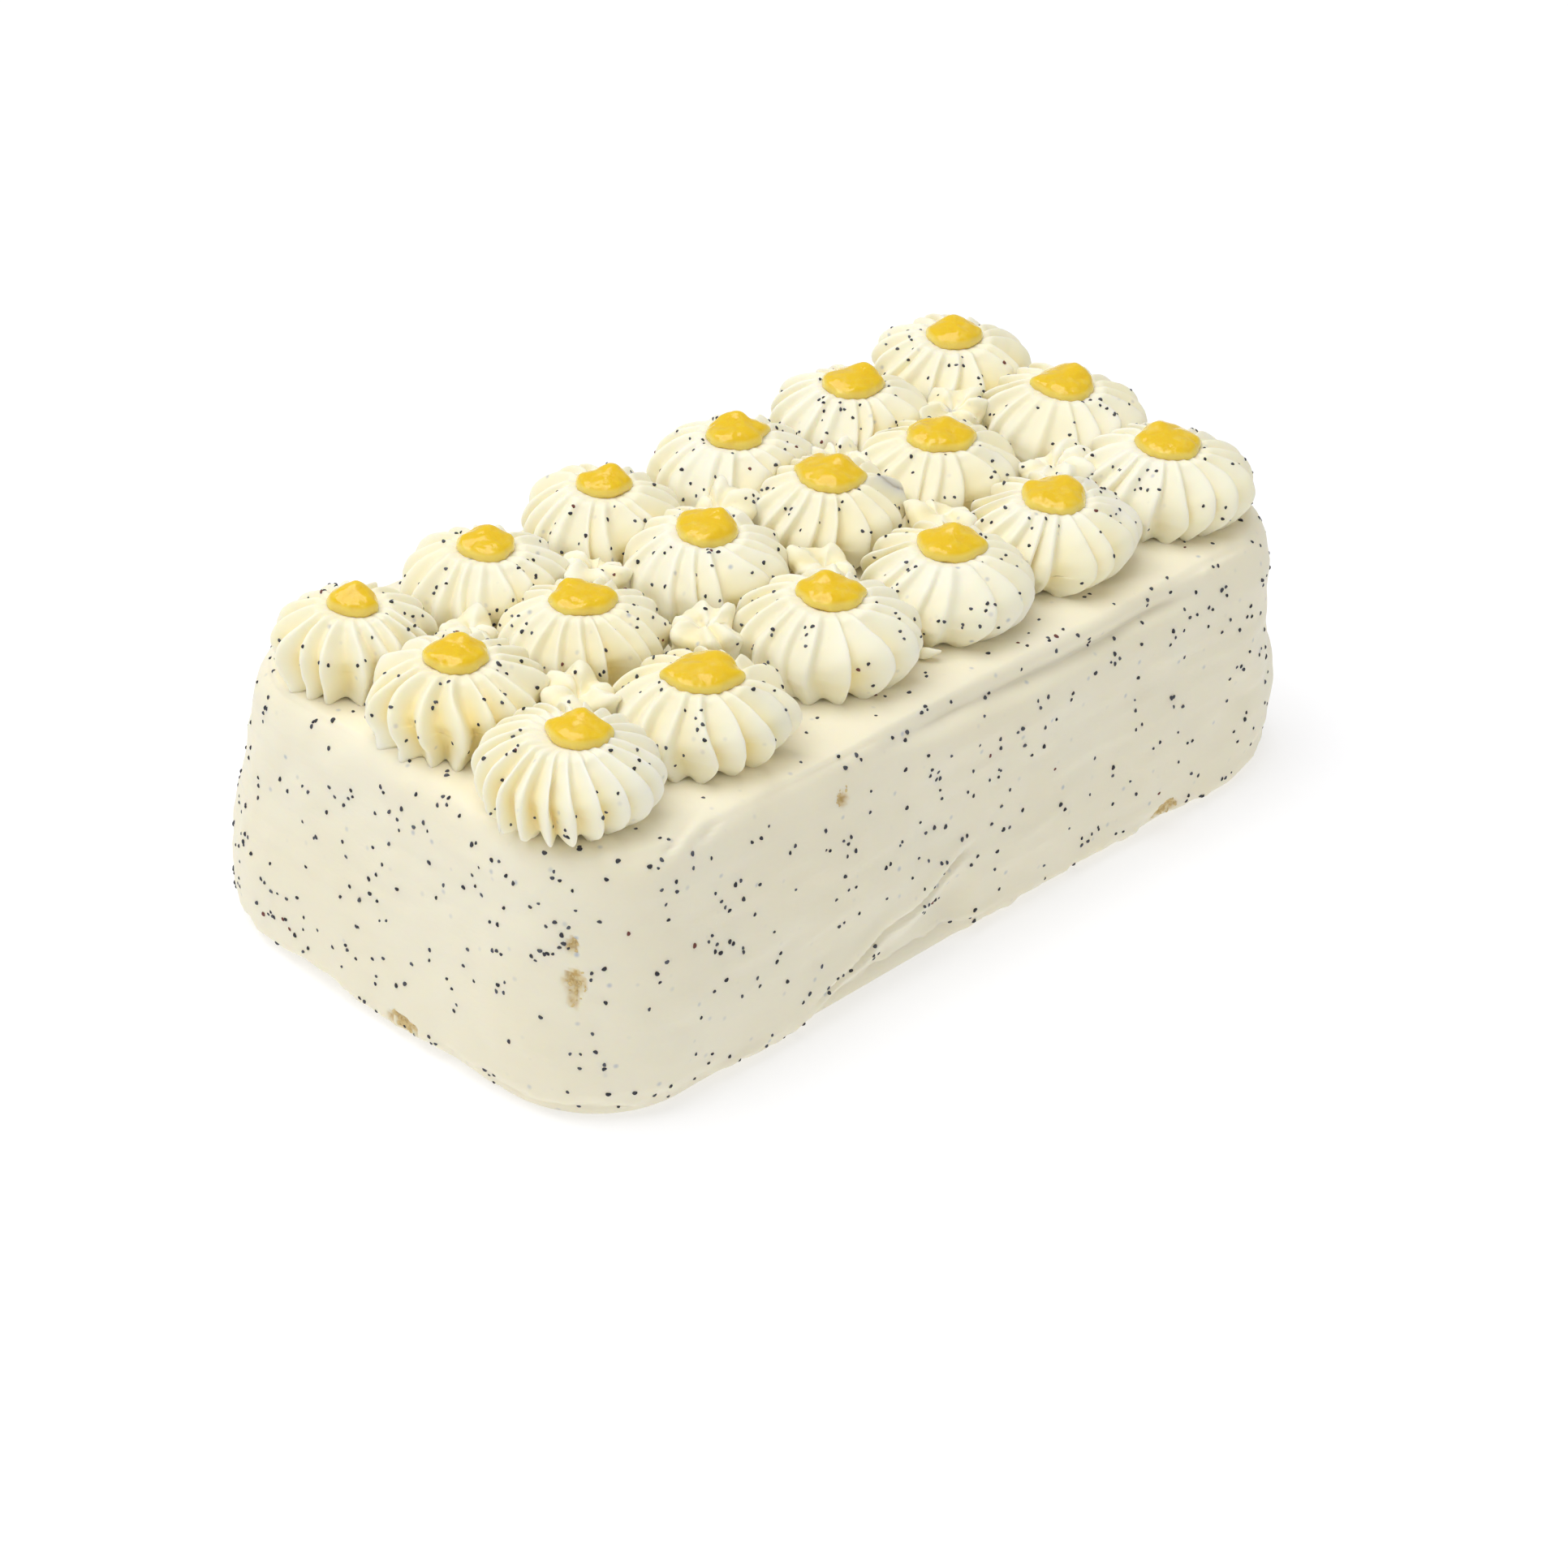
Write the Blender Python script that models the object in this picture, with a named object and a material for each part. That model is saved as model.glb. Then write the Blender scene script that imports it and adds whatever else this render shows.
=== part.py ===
"""Lemon poppy seed cake: a rounded loaf coated in poppy seed buttercream.

Three rows of piped buttercream rosettes stand on its top, each with a drop of lemon curd
in its dip, and small piped stars fill the gaps where four rosettes meet. The origin is at
the middle of the underside, +X runs along the loaf and +Z points up.
"""

import math
import random

import bmesh
import bpy
from mathutils import Matrix, Vector
from mathutils.bvhtree import BVHTree

MM = 0.001

# Driving dimensions of the loaf, in millimetres
LENGTH = 270.0
WIDTH = 147.0
TOP = 70.0
CORNER_RADIUS = 34.0

# The loaf's upright profile: height, and how far the wall stands in from the widest outline
WALL = (
    (0.0, 6.0), (2.0, 2.4), (6.0, 0.5), (16.0, 0.0), (28.0, 1.0), (42.0, 2.7),
    (53.0, 4.0), (61.0, 5.0), (66.5, 6.8), (69.3, 9.8), (TOP, 13.5),
)
WALL_COLUMNS = 60

# Relief left by the spatula
WAVE_DEPTH = 0.8
CREASE_START = (9.0, 24.0)
CREASE_END = (-67.0, 6.0)
CREASE_STEP = 0.9
CREASE_WIDTH = 5.0
BULGE_AT = (124.0, -58.0, 24.0)
BULGE_SIZE = 14.0
BULGE_RISE = 1.8

# Piped rosettes: pitch along the loaf and where the three rows run across it
PITCH = 42.5
ROW_Y = (-37.0, 4.5, 38.5)
REACH = 22.0
GAP = 0.3
# How wide each rosette stands on its toes, as a share of its reach
TOE_SHARE = (
    (0.70, 0.74, 0.76, 0.70, 0.72, 0.74),
    (0.90, 0.84, 0.78, 0.76, 0.74, 0.76),
    (0.84, 0.84, 0.78, 0.80, 0.78, 0.76),
)
# Share of the reach, height and groove depth, from above the toes up to the rim of the dip
ROSETTE_RINGS = ((1.00, 8.0, 2.6), (0.92, 13.0, 2.1), (0.68, 16.8, 1.3), (0.42, 18.4, 0.3))
TOE_GROOVE = 2.4
DIP_DEPTH = 2.2
TOE_ARCH = 1.6
GROOVE_LEAN = 0.16

# How each rosette was piped, row by row from the front: off the grid along and across in
# millimetres, size, height, crests round it, and twist in degrees
PIPED = (
    ((-3, 0, 1.02, 1.04, 22, -6), (-4, -2, 1.00, 1.00, 16, -8), (1, 3, 1.04, 1.04, 17, -4),
     (-1, 1, 1.01, 0.98, 17, 14), (-5, 0, 1.04, 0.98, 19, 16), (-5, -2, 1.02, 1.02, 18, 8)),
    ((1, 0, 1.00, 1.00, 17, -10), (-1, 0, 0.94, 0.96, 19, -10), (1, 3, 1.00, 1.04, 17, -6),
     (3, 3, 0.98, 0.98, 18, 8), (-3, -1, 0.98, 0.96, 17, 10), (0, -4, 1.03, 1.00, 17, 12)),
    ((0, 1, 0.89, 0.95, 17, -8), (-1, 0, 0.95, 0.96, 17, -12), (-1, 3, 0.96, 0.98, 17, -6),
     (0, -1, 1.00, 1.00, 16, -8), (1, -1, 0.97, 0.98, 17, 10), (-1, 0, 1.03, 1.00, 17, 14)),
)

# Lemon curd: the width of each drop, and the share of it and the height over the dip, from
# under its edge to its top
CURD_WIDTH = (
    (17.0, 18.4, 18.0, 16.6, 17.0, 17.6),
    (16.4, 15.8, 16.0, 18.4, 17.6, 16.0),
    (13.4, 15.0, 14.6, 16.4, 16.2, 16.2),
)
CURD_SIDES = 8
CURD_RINGS = ((0.55, 0.0), (0.97, 0.0), (1.0, 1.2), (0.66, 3.5))
CURD_PEAK = 5.0

# Small stars between four rosettes: share of their reach and height, from the foot up
STAR_REACH = 8.6
STAR_PETALS = 7
STAR_RINGS = ((0.60, 0.0), (0.66, 5.0), (1.0, 10.0), (0.62, 12.6))
STAR_PIT = 11.0
PETAL_DEPTH = 0.22
STAR_CLEARANCE = 1.3

# A stray curl of cream at the front edge, half lengths of its three axes
CURL_AT = (-0.5, -49.5)
CURL_HALF = (3.2, 2.0, 2.2)

# Poppy seeds, and how many are fused to the coat and to each rosette
SEED_LONG = 1.2
SEED_SHORT = 1.0
SEED_SUNK = 0.12
WALL_SEEDS = 84
ROSETTE_SEEDS = 3
SEED_CLEARANCE = 1.3
SEED_DRAW = 41

CREAM = "#F3EDD8"
PIPED_CREAM = "#F5EFD6"
CURD = "#ECC32E"


def linear(hex_colour):
    """Turn an sRGB hex colour into linear RGBA."""
    shares = [int(hex_colour[i:i + 2], 16) / 255 for i in (1, 3, 5)]
    return [c / 12.92 if c <= 0.04045 else ((c + 0.055) / 1.055) ** 2.4 for c in shares] + [1.0]


def food_material(name, hex_colour, roughness):
    """A plain finish for one kind of food."""
    material = bpy.data.materials.new(name)
    material.use_nodes = True
    shader = material.node_tree.nodes["Principled BSDF"]
    shader.inputs["Base Color"].default_value = linear(hex_colour)
    shader.inputs["Roughness"].default_value = roughness
    shader.inputs["Metallic"].default_value = 0.0
    material.diffuse_color = linear(hex_colour)
    return material


def finish(bm, name, material, collection):
    """Close off a mesh as one named, smooth-shaded object in metres."""
    bmesh.ops.scale(bm, vec=(MM, MM, MM), verts=bm.verts)
    mesh = bpy.data.meshes.new(name)
    bm.to_mesh(mesh)
    bm.free()
    mesh.shade_smooth()
    mesh.materials.append(material)
    piece = bpy.data.objects.new(name, mesh)
    collection.objects.link(piece)
    return piece


def ball_grid(bm, columns, rings):
    """Add a ball with that many columns and rings, and say which of them each vertex is on.

    Rings count from 0 at the bottom, and the two poles are rings -1 and the number of rings.
    """
    made = bmesh.ops.create_uvsphere(bm, u_segments=columns, v_segments=rings + 1, radius=1.0)
    places = []
    for vert in made["verts"]:
        down = math.acos(max(-1.0, min(1.0, vert.co.z))) / math.pi
        ring = rings - round(down * (rings + 1))
        column = round(math.atan2(vert.co.y, vert.co.x) / math.tau * columns) % columns
        places.append((vert, column, ring))
    return places


def between(table, at, column):
    """Read one column of a table at a height, straight between its rows."""
    rows = sorted((row[1], row[column]) for row in table)
    for (low, here), (high, there) in zip(rows, rows[1:]):
        if at <= high:
            return here + (there - here) * max(0.0, at - low) / (high - low)
    return rows[-1][1]


def soft_step(value):
    """Rise smoothly from 0 to 1 as the value goes from -1 to 1."""
    share = max(0.0, min(1.0, 0.5 + 0.5 * value))
    return share * share * (3.0 - 2.0 * share)


def outline(share, inset):
    """A point on the loaf's rounded outline and its outward direction, walked once round."""
    half_x, half_y = LENGTH / 2 - CORNER_RADIUS, WIDTH / 2 - CORNER_RADIUS
    quarter = half_y + math.pi * CORNER_RADIUS / 2 + half_x
    turn, left = divmod(share % 1.0 * 4 * quarter, quarter)
    side_x = (1, -1, -1, 1)[int(turn)]
    side_y = (1, 1, -1, -1)[int(turn)]
    if side_x * side_y < 0:
        left = quarter - left
    angle = max(0.0, min(math.pi / 2, (left - half_y) / CORNER_RADIUS))
    x = min(half_x, quarter - left)
    y = min(half_y, left)
    reach = CORNER_RADIUS - inset
    outward = Vector((side_x * math.cos(angle), side_y * math.sin(angle)))
    return Vector((side_x * x, side_y * y)) + outward * reach, outward


def spatula_relief(x, y, height):
    """How far the coat stands out where the spatula left it thicker."""
    wave = math.sin(x / 27.0 + height / 40.0) * math.cos(y / 24.0 - 0.6)
    wave += 0.6 * math.sin(x / 15.0 - height / 21.0 + y / 19.0 + 1.3)
    relief = WAVE_DEPTH * 0.6 * wave
    if y < -WIDTH / 2 + CORNER_RADIUS:
        run = CREASE_START[0] - CREASE_END[0]
        drop = CREASE_START[1] - CREASE_END[1]
        line = CREASE_END[1] + (x - CREASE_END[0]) * drop / run
        within = soft_step((x - CREASE_END[0]) / 12.0) * soft_step((CREASE_START[0] - x) / 12.0)
        relief -= CREASE_STEP * within * soft_step((line - height) / CREASE_WIDTH)
    off = math.dist((x, y, height), BULGE_AT)
    return relief + BULGE_RISE * math.exp(-(off / BULGE_SIZE) ** 2)


def make_loaf(material, collection):
    """The coated loaf: a ball drawn out to the rounded outline at each height of its wall."""
    bm = bmesh.new()
    top_ring = len(WALL) - 1
    for vert, column, ring in ball_grid(bm, WALL_COLUMNS, len(WALL)):
        if ring < 0 or ring > top_ring:
            vert.co = Vector((0.0, 0.0, 0.0 if ring < 0 else TOP))
            continue
        height, inset = WALL[ring]
        spot, outward = outline(column / WALL_COLUMNS, inset)
        if 0 < ring < top_ring:
            spot += outward * spatula_relief(spot.x, spot.y, height)
        x = max(-LENGTH / 2, min(LENGTH / 2, spot.x))
        y = max(-WIDTH / 2, min(WIDTH / 2, spot.y))
        vert.co = Vector((x, y, height))
    return finish(bm, "cake_body", material, collection)


def rosette_place(row, column):
    """Where a rosette stands on the top of the loaf."""
    off_x, off_y = PIPED[row][column][:2]
    x = (column - (len(PIPED[row]) - 1) / 2) * PITCH + off_x
    return Vector((x, ROW_Y[row] + off_y))


def every_rosette():
    """Row and column of each rosette."""
    return [(row, column) for row in range(len(PIPED)) for column in range(len(PIPED[row]))]


def pressed(place, angle, others):
    """How far a rosette reaches in one direction before it presses on its neighbours."""
    limit = math.inf
    for other in others:
        apart = other - place
        facing = math.cos(angle - math.atan2(apart.y, apart.x))
        if facing > 0.01 and 1.0 < apart.length < 2.6 * REACH:
            limit = min(limit, (apart.length - GAP) / 2 / facing)
    return limit


def make_rosette(row, column, material, collection):
    """A star-tip rosette: crests and hollow grooves that bulge, turn in and stand on toes."""
    size, tall, crests, twist = PIPED[row][column][2:]
    place = rosette_place(row, column)
    others = [rosette_place(*spot) for spot in every_rosette() if spot != (row, column)]
    columns = 2 * crests
    crest_angle = math.tau / crests
    rim_height = ROSETTE_RINGS[-1][1]
    bm = bmesh.new()
    rings = ((TOE_SHARE[row][column], 0.0, TOE_GROOVE),) + ROSETTE_RINGS
    for vert, turn, ring in ball_grid(bm, columns, len(rings)):
        if ring < 0:
            vert.co = Vector((place.x, place.y, TOP + GAP + TOE_ARCH / 2))
            continue
        if ring == len(rings):
            vert.co = Vector((place.x, place.y, TOP + GAP + rim_height * tall - DIP_DEPTH))
            continue
        share, height, groove = rings[ring]
        angle = turn * crest_angle / 2 + math.radians(twist) * height / rim_height
        radius = REACH * size * share
        if turn % 2:
            radius -= groove
            angle += GROOVE_LEAN * crest_angle * math.copysign(1.0, twist)
            height += TOE_ARCH if ring == 0 else 0.0
        radius *= 1.0 + 0.03 * math.sin(2 * angle + row + 2.0 * column)
        radius = min(radius, pressed(place, angle, others))
        vert.co = Vector((
            place.x + radius * math.cos(angle),
            place.y + radius * math.sin(angle),
            TOP + GAP + height * tall,
        ))
    return finish(bm, f"rosette_{row + 1}_{column + 1}", material, collection)


def make_curd(row, column, material, collection, draw):
    """A drop of lemon curd that fills the dip of one rosette and peaks off centre."""
    size, tall = PIPED[row][column][2:4]
    place = rosette_place(row, column)
    rim_share, rim_height, rim_groove = ROSETTE_RINGS[-1]
    rim_radius = REACH * size * rim_share - rim_groove
    dip = TOP + GAP + rim_height * tall - DIP_DEPTH
    slope = DIP_DEPTH / rim_radius
    half = CURD_WIDTH[row][column] / 2
    long_way = draw.uniform(0.0, math.pi)
    lean = draw.uniform(0.0, math.tau)
    bm = bmesh.new()
    for vert, turn, ring in ball_grid(bm, CURD_SIDES, len(CURD_RINGS)):
        angle = turn * math.tau / CURD_SIDES
        if ring < 0:
            vert.co = Vector((place.x, place.y, dip + GAP))
            continue
        if ring == len(CURD_RINGS):
            aside = 0.2 * half
            rise = slope * half + CURD_PEAK * draw.uniform(0.85, 1.1)
            vert.co = Vector((
                place.x + aside * math.cos(lean), place.y + aside * math.sin(lean), dip + GAP + rise,
            ))
            continue
        share, rise = CURD_RINGS[ring]
        wide = 0.94 + 0.06 * math.cos(2 * (angle - long_way))
        radius = half * share * wide
        over_dip = slope * radius if ring < 2 else slope * half
        vert.co = Vector((
            place.x + radius * math.cos(angle),
            place.y + radius * math.sin(angle),
            dip + GAP + over_dip + rise,
        ))
    return finish(bm, f"lemon_curd_{row + 1}_{column + 1}", material, collection)


def clear_reach(centre, angle, height, corners):
    """How far a star reaches in one direction before it meets one of its four rosettes."""
    ray = Vector((math.cos(angle), math.sin(angle)))
    limit = math.inf
    for row, column in corners:
        size, tall = PIPED[row][column][2:4]
        rings = ((TOE_SHARE[row][column], 0.0),) + ROSETTE_RINGS
        around = REACH * size * 1.03 * between(rings, height / tall, 0) + STAR_CLEARANCE
        to_rosette = rosette_place(row, column) - centre
        along = to_rosette.dot(ray)
        aside = to_rosette.length_squared - along * along
        if along > 0 and aside < around * around:
            limit = min(limit, along - math.sqrt(around * around - aside))
    return limit


def make_star(row, column, material, collection):
    """A small piped star in the gap between four rosettes."""
    corners = [(row + i, column + j) for i in (0, 1) for j in (0, 1)]
    centre = sum((rosette_place(*spot) for spot in corners), Vector((0.0, 0.0))) / len(corners)
    columns = 2 * STAR_PETALS
    bm = bmesh.new()
    for vert, turn, ring in ball_grid(bm, columns, len(STAR_RINGS)):
        if ring < 0 or ring == len(STAR_RINGS):
            height = 0.0 if ring < 0 else STAR_PIT
            vert.co = Vector((centre.x, centre.y, TOP + GAP + height))
            continue
        share, height = STAR_RINGS[ring]
        angle = turn * math.tau / columns + 0.5 * column + 0.3 * row
        radius = STAR_REACH * share * (1.0 - PETAL_DEPTH * (turn % 2))
        radius = min(radius, clear_reach(centre, angle, height, corners))
        vert.co = Vector((
            centre.x + radius * math.cos(angle),
            centre.y + radius * math.sin(angle),
            TOP + GAP + height,
        ))
    return finish(bm, f"piped_star_{row + 1}_{column + 1}", material, collection)


def make_curl(material, collection):
    """The stray curl of cream at the front edge of the top."""
    bm = bmesh.new()
    bmesh.ops.create_uvsphere(bm, u_segments=8, v_segments=5, radius=1.0)
    bmesh.ops.scale(bm, vec=CURL_HALF, verts=bm.verts)
    middle = (CURL_AT[0], CURL_AT[1], TOP + GAP + CURL_HALF[2])
    bmesh.ops.translate(bm, vec=middle, verts=bm.verts)
    return finish(bm, "cream_curl", material, collection)


def surface_tree(piece):
    """A search tree over one piece's faces, in metres."""
    bm = bmesh.new()
    bm.from_mesh(piece.data)
    tree = BVHTree.FromBMesh(bm)
    bm.free()
    return tree


def spread(candidates, count, tree, others):
    """Pick that many spots on a surface, each as far as it can be from those already picked.

    A candidate is the start and direction of a line towards the surface, in millimetres.
    """
    spots = []
    for start, towards in candidates:
        place, normal, _, _ = tree.ray_cast(start * MM, towards)
        if place is None:
            continue
        if any(near.find_nearest(place, SEED_CLEARANCE * MM)[0] for near in others):
            continue
        spots.append((place, normal))
    picked = spots[:1]
    spots = spots[1:]
    while spots and len(picked) < count:
        best = max(spots, key=lambda spot: min((spot[0] - seed[0]).length for seed in picked))
        spots.remove(best)
        picked.append(best)
    return picked


def wall_candidates(draw, count):
    """Lines that come in square to the loaf's wall, all round it."""
    lines = []
    for _ in range(count):
        spot, outward = outline(draw.random(), -10.0)
        start = Vector((spot.x, spot.y, draw.uniform(4.0, 65.0)))
        lines.append((start, Vector((-outward.x, -outward.y, 0.0))))
    return lines


def rosette_candidates(place, draw, count):
    """Lines that come in level towards the middle of a rosette."""
    lines = []
    for _ in range(count):
        angle = draw.uniform(0.0, math.tau)
        ray = Vector((math.cos(angle), math.sin(angle), 0.0))
        height = TOP + draw.uniform(5.0, 16.0)
        start = Vector((place.x, place.y, height)) + ray * (REACH + 10.0)
        lines.append((start, -ray))
    return lines


def fuse_seeds(host, spots, draw):
    """Set a poppy seed at each spot, sunk a little, and join them all to the piece."""
    bm = bmesh.new()
    for place, normal in spots:
        seed = bmesh.ops.create_icosphere(bm, subdivisions=1, radius=0.5)["verts"]
        bmesh.ops.scale(bm, vec=(SEED_LONG * MM, SEED_SHORT * MM, SEED_SHORT * MM), verts=seed)
        spin = Matrix.Rotation(draw.uniform(0.0, math.pi), 3, "Z")
        lay = normal.to_track_quat("Z", "Y").to_matrix()
        bmesh.ops.rotate(bm, matrix=lay @ spin, verts=seed)
        bmesh.ops.translate(bm, vec=place - normal * SEED_SUNK * MM, verts=seed)
    mesh = bpy.data.meshes.new("seeds")
    bm.to_mesh(mesh)
    bm.free()
    seeds = bpy.data.objects.new("seeds", mesh)
    scattered = bpy.data.collections.new("Seeds to fuse")
    bpy.context.scene.collection.children.link(scattered)
    scattered.objects.link(seeds)
    join = host.modifiers.new("Fuse seeds", "BOOLEAN")
    join.operation = "UNION"
    join.operand_type = "COLLECTION"
    join.collection = scattered
    join.solver = "MANIFOLD"
    bpy.context.view_layer.objects.active = host
    bpy.ops.object.modifier_apply(modifier=join.name)
    bpy.data.objects.remove(seeds)
    bpy.data.collections.remove(scattered)


def clear_scene():
    """Start from an empty scene."""
    for piece in list(bpy.data.objects):
        bpy.data.objects.remove(piece)


def main():
    """Model the coated loaf, its piping and curd, and then fuse the seeds."""
    clear_scene()
    cake = bpy.data.collections.new("Lemon poppy seed cake")
    bpy.context.scene.collection.children.link(cake)
    coat = food_material("Poppy seed buttercream coat", CREAM, 0.55)
    piped = food_material("Piped buttercream", PIPED_CREAM, 0.5)
    curd = food_material("Lemon curd", CURD, 0.2)
    draw = random.Random(SEED_DRAW)
    loaf = make_loaf(coat, cake)
    rosettes = {spot: make_rosette(*spot, piped, cake) for spot in every_rosette()}
    for spot in every_rosette():
        make_curd(*spot, curd, cake, draw)
    for row in range(len(PIPED) - 1):
        for column in range(len(PIPED[row]) - 1):
            make_star(row, column, piped, cake)
    make_curl(piped, cake)
    trees = {piece.name: surface_tree(piece) for piece in cake.objects}
    for (row, column), rosette in rosettes.items():
        others = [tree for name, tree in trees.items() if name != rosette.name]
        lines = rosette_candidates(rosette_place(row, column), draw, 40)
        fuse_seeds(rosette, spread(lines, ROSETTE_SEEDS, trees[rosette.name], others), draw)
    others = [tree for name, tree in trees.items() if name != loaf.name]
    lines = wall_candidates(draw, 6 * WALL_SEEDS)
    fuse_seeds(loaf, spread(lines, WALL_SEEDS, trees[loaf.name], others), draw)


main()
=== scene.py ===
"""Lemon poppy seed cake: a loaf spread with poppy seed buttercream, with piped rosettes that
each hold a drop of lemon curd. Sizes are in millimetres unless a comment says otherwise."""

import itertools
import math

import bpy
import numpy as np
from mathutils import Matrix, Vector
from mathutils.bvhtree import BVHTree


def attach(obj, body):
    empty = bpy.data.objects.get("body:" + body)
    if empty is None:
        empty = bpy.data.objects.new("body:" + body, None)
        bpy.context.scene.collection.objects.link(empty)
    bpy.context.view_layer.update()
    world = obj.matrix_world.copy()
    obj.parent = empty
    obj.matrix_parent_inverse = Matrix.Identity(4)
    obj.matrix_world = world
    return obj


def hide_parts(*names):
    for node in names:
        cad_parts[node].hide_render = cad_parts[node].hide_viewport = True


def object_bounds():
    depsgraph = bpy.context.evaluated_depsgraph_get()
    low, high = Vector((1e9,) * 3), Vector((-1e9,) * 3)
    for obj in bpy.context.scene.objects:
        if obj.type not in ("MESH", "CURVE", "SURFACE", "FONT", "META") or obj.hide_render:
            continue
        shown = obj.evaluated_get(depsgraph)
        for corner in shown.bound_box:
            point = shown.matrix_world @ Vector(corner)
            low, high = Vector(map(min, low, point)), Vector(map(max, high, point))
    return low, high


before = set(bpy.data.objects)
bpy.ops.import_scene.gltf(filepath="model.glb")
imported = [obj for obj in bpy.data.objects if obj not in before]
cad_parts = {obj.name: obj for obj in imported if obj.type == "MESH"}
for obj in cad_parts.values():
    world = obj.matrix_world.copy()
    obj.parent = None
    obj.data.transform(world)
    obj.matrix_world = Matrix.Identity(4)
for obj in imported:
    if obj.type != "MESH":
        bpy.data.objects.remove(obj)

CAD_LOW, CAD_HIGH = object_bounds()
MM = 0.001

# The loaf, as the CAD has it
LENGTH = 270.0
WIDTH = 147.0
TOP = 70.0
CORNER_RADIUS = 34.0
# Height, and how far the wall stands in from the widest outline
WALL = (
    (0, 6), (2, 2.4), (6, 0.5), (16, 0), (28, 1), (42, 2.7),
    (53, 4), (61, 5), (66.5, 6.8), (69.3, 9.8), (TOP, 13.5),
)
# Over the top the same path goes on inwards, and past its end the rows close to the middle
TOP_BAND = ((TOP, 20.0), (TOP, 33.0))
# The ball that it is drawn from, how often its faces are split, and where its end caps start
LOAF_COLUMNS = 210
LOAF_ROWS = 29
LOAF_SPLITS = 2
UNDERSIDE = 0.05
MIDDLE_OF_TOP = 0.93

# What the spatula left. First the broad waves that the CAD has, and the size and depth of the
# smaller unevenness: how far apart, how deep
WAVE_DEPTH = 0.48
UNEVEN = ((24.0, 1.1), (10.0, 0.6), (4.0, 0.17))
# Long level streaks of the blade
STREAK_APART = 3.0
STREAK_DEPTH = 0.3
STREAK_STRETCH = (0.14, 0.14, 1.0)
# The top is calmer than the walls, and at the foot all relief fades out over this height
TOP_CALM = 0.5
FOOT_CALM = 2.0
# The fold and the channel of the front wall fade out over this distance at the corners
FRONT_FADE = 10.0
# A fold low on the front wall, as places along and up the wall. It fades in and out at its
# ends, and its line wanders: how far apart, how far
CREASE_START = (0.0, 30.0)
CREASE_END = (-66.0, 6.0)
CREASE_FADES = (10.0, 16.0)
CREASE_WANDER = (12.0, 1.3)
# Its notch and the lip over it: how far above the line, half width, rise. Below the line the
# wall is tucked in, in full at this depth below it
CREASE_RIDGES = ((-0.6, 1.2, -2.0), (2.4, 2.2, 0.9))
CREASE_TUCK = 4.6
CREASE_TUCK_FULL = 12.0
# A channel under the top edge of the front wall, and the bulges below and above it
CHANNEL_FROM = -45.0
CHANNEL_TO = 92.0
CHANNEL_FADES = (40.0, 25.0)
CHANNEL_HEIGHT = 65.5
CHANNEL_SLOPE = -0.02
CHANNEL_WANDER = (22.0, 1.2)
CHANNEL_RIDGES = ((0.0, 2.6, -3.0), (-10.0, 6.0, 0.9), (4.6, 1.6, 0.72))
# Bumps: x, y, z, size along, size up, rise
SWELLINGS = (
    (124, -58, 22, 12, 9, 2.2),
    (-133, 52, 45, 2.6, 2.2, 2.4),
    (-135, 48, 24, 12, 9, 0.9),
    (-60, -72, 40, 22, 12, 0.6),
    (-132, 0, 44, 26, 9, 0.6),
    (-118, -58, 12, 14, 7, 0.6),
)
# Lips and slits between two places: start, end, half width, rise
STROKES = (
    ((-89, -58.5, 70), (-106, -65.5, 69), 0.9, -1.3),
    ((-89, -61, 70), (-105, -67, 68.5), 1.2, 0.9),
    ((-86, -63.5, 69.5), (-99, -67.5, 68), 0.8, -0.9),
    ((-74, -61, 70), (-62, -60.5, 70), 1.5, 0.5),
    ((85, -66, 69.6), (106, -66.5, 69.6), 1.3, 2),
    ((86, -63.6, 70), (102, -64.2, 70), 1.1, -0.8),
    ((84, -69.5, 66), (90, -66, 69.5), 1.4, 1),
    ((70, -70, 67), (74, -71, 46), 1, -0.45),
    ((72.5, -70, 66), (76.5, -71, 48), 1.6, 0.35),
    ((-133, 31, 55), (-133, 26, 54), 1.5, -0.7),
    ((-134.5, 41, 18), (-134.5, 36, 13), 1.2, 0.8),
    ((-134.5, 30, 7), (-134.5, 2, 4.5), 1.5, 1.1),
    ((-134.5, 6, 3), (-134.5, -20, 5), 1.6, 1),
    ((-134, -26, 7.5), (-129, -52, 15.5), 1.3, 0.8),
    ((-133.5, -22, 5), (-126, -57, 12), 1.3, -0.7),
    ((-72, -73, 6), (-96, -72, 4), 1.4, 0.8),
    ((-20, -73.4, 5), (8, -73.4, 7), 1.4, 0.7),
    ((30, -73.4, 26), (12, -73.4, 22), 1.6, 0.5),
    ((-118, -62, 52), (-96, -70, 44), 1.6, 0.4),
    ((-40, -72, 33), (-74, -72.5, 27), 1.4, 0.35),
    ((20, -72, 55), (-22, -71.5, 52), 1.4, -0.35),
)
# Their edges waver: how far apart, by what share
STROKE_RAGGED = (2.2, 0.35)
# The foot of the wall is ragged up to this height: how far apart, how deep
BASE_RAGGED = ((5.0, 0.8), (2.0, 0.32))
BASE_HEIGHT = 9.0
BASE_FADE = 6.0
# The blade leaves the coat this much thinner on the whole
SCRAPED = 0.8
# How close the cream may come to the CAD's box before it is held back
BOX_SOFT = 0.35
# Places where the coat was dragged thin and the sponge shows: x, y, z, half width, half height
BARE_PATCHES = (
    (-125.6, -56.5, 48.4, 1.1, 2.2),
    (-125.7, -57.7, 37.9, 2.5, 4.6),
    (-49.4, -70, 61.1, 2, 2.6),
    (73, -73.3, 5.3, 4.6, 2.6),
    (-134.7, -9.4, 5.2, 4.4, 2.4),
)
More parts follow.
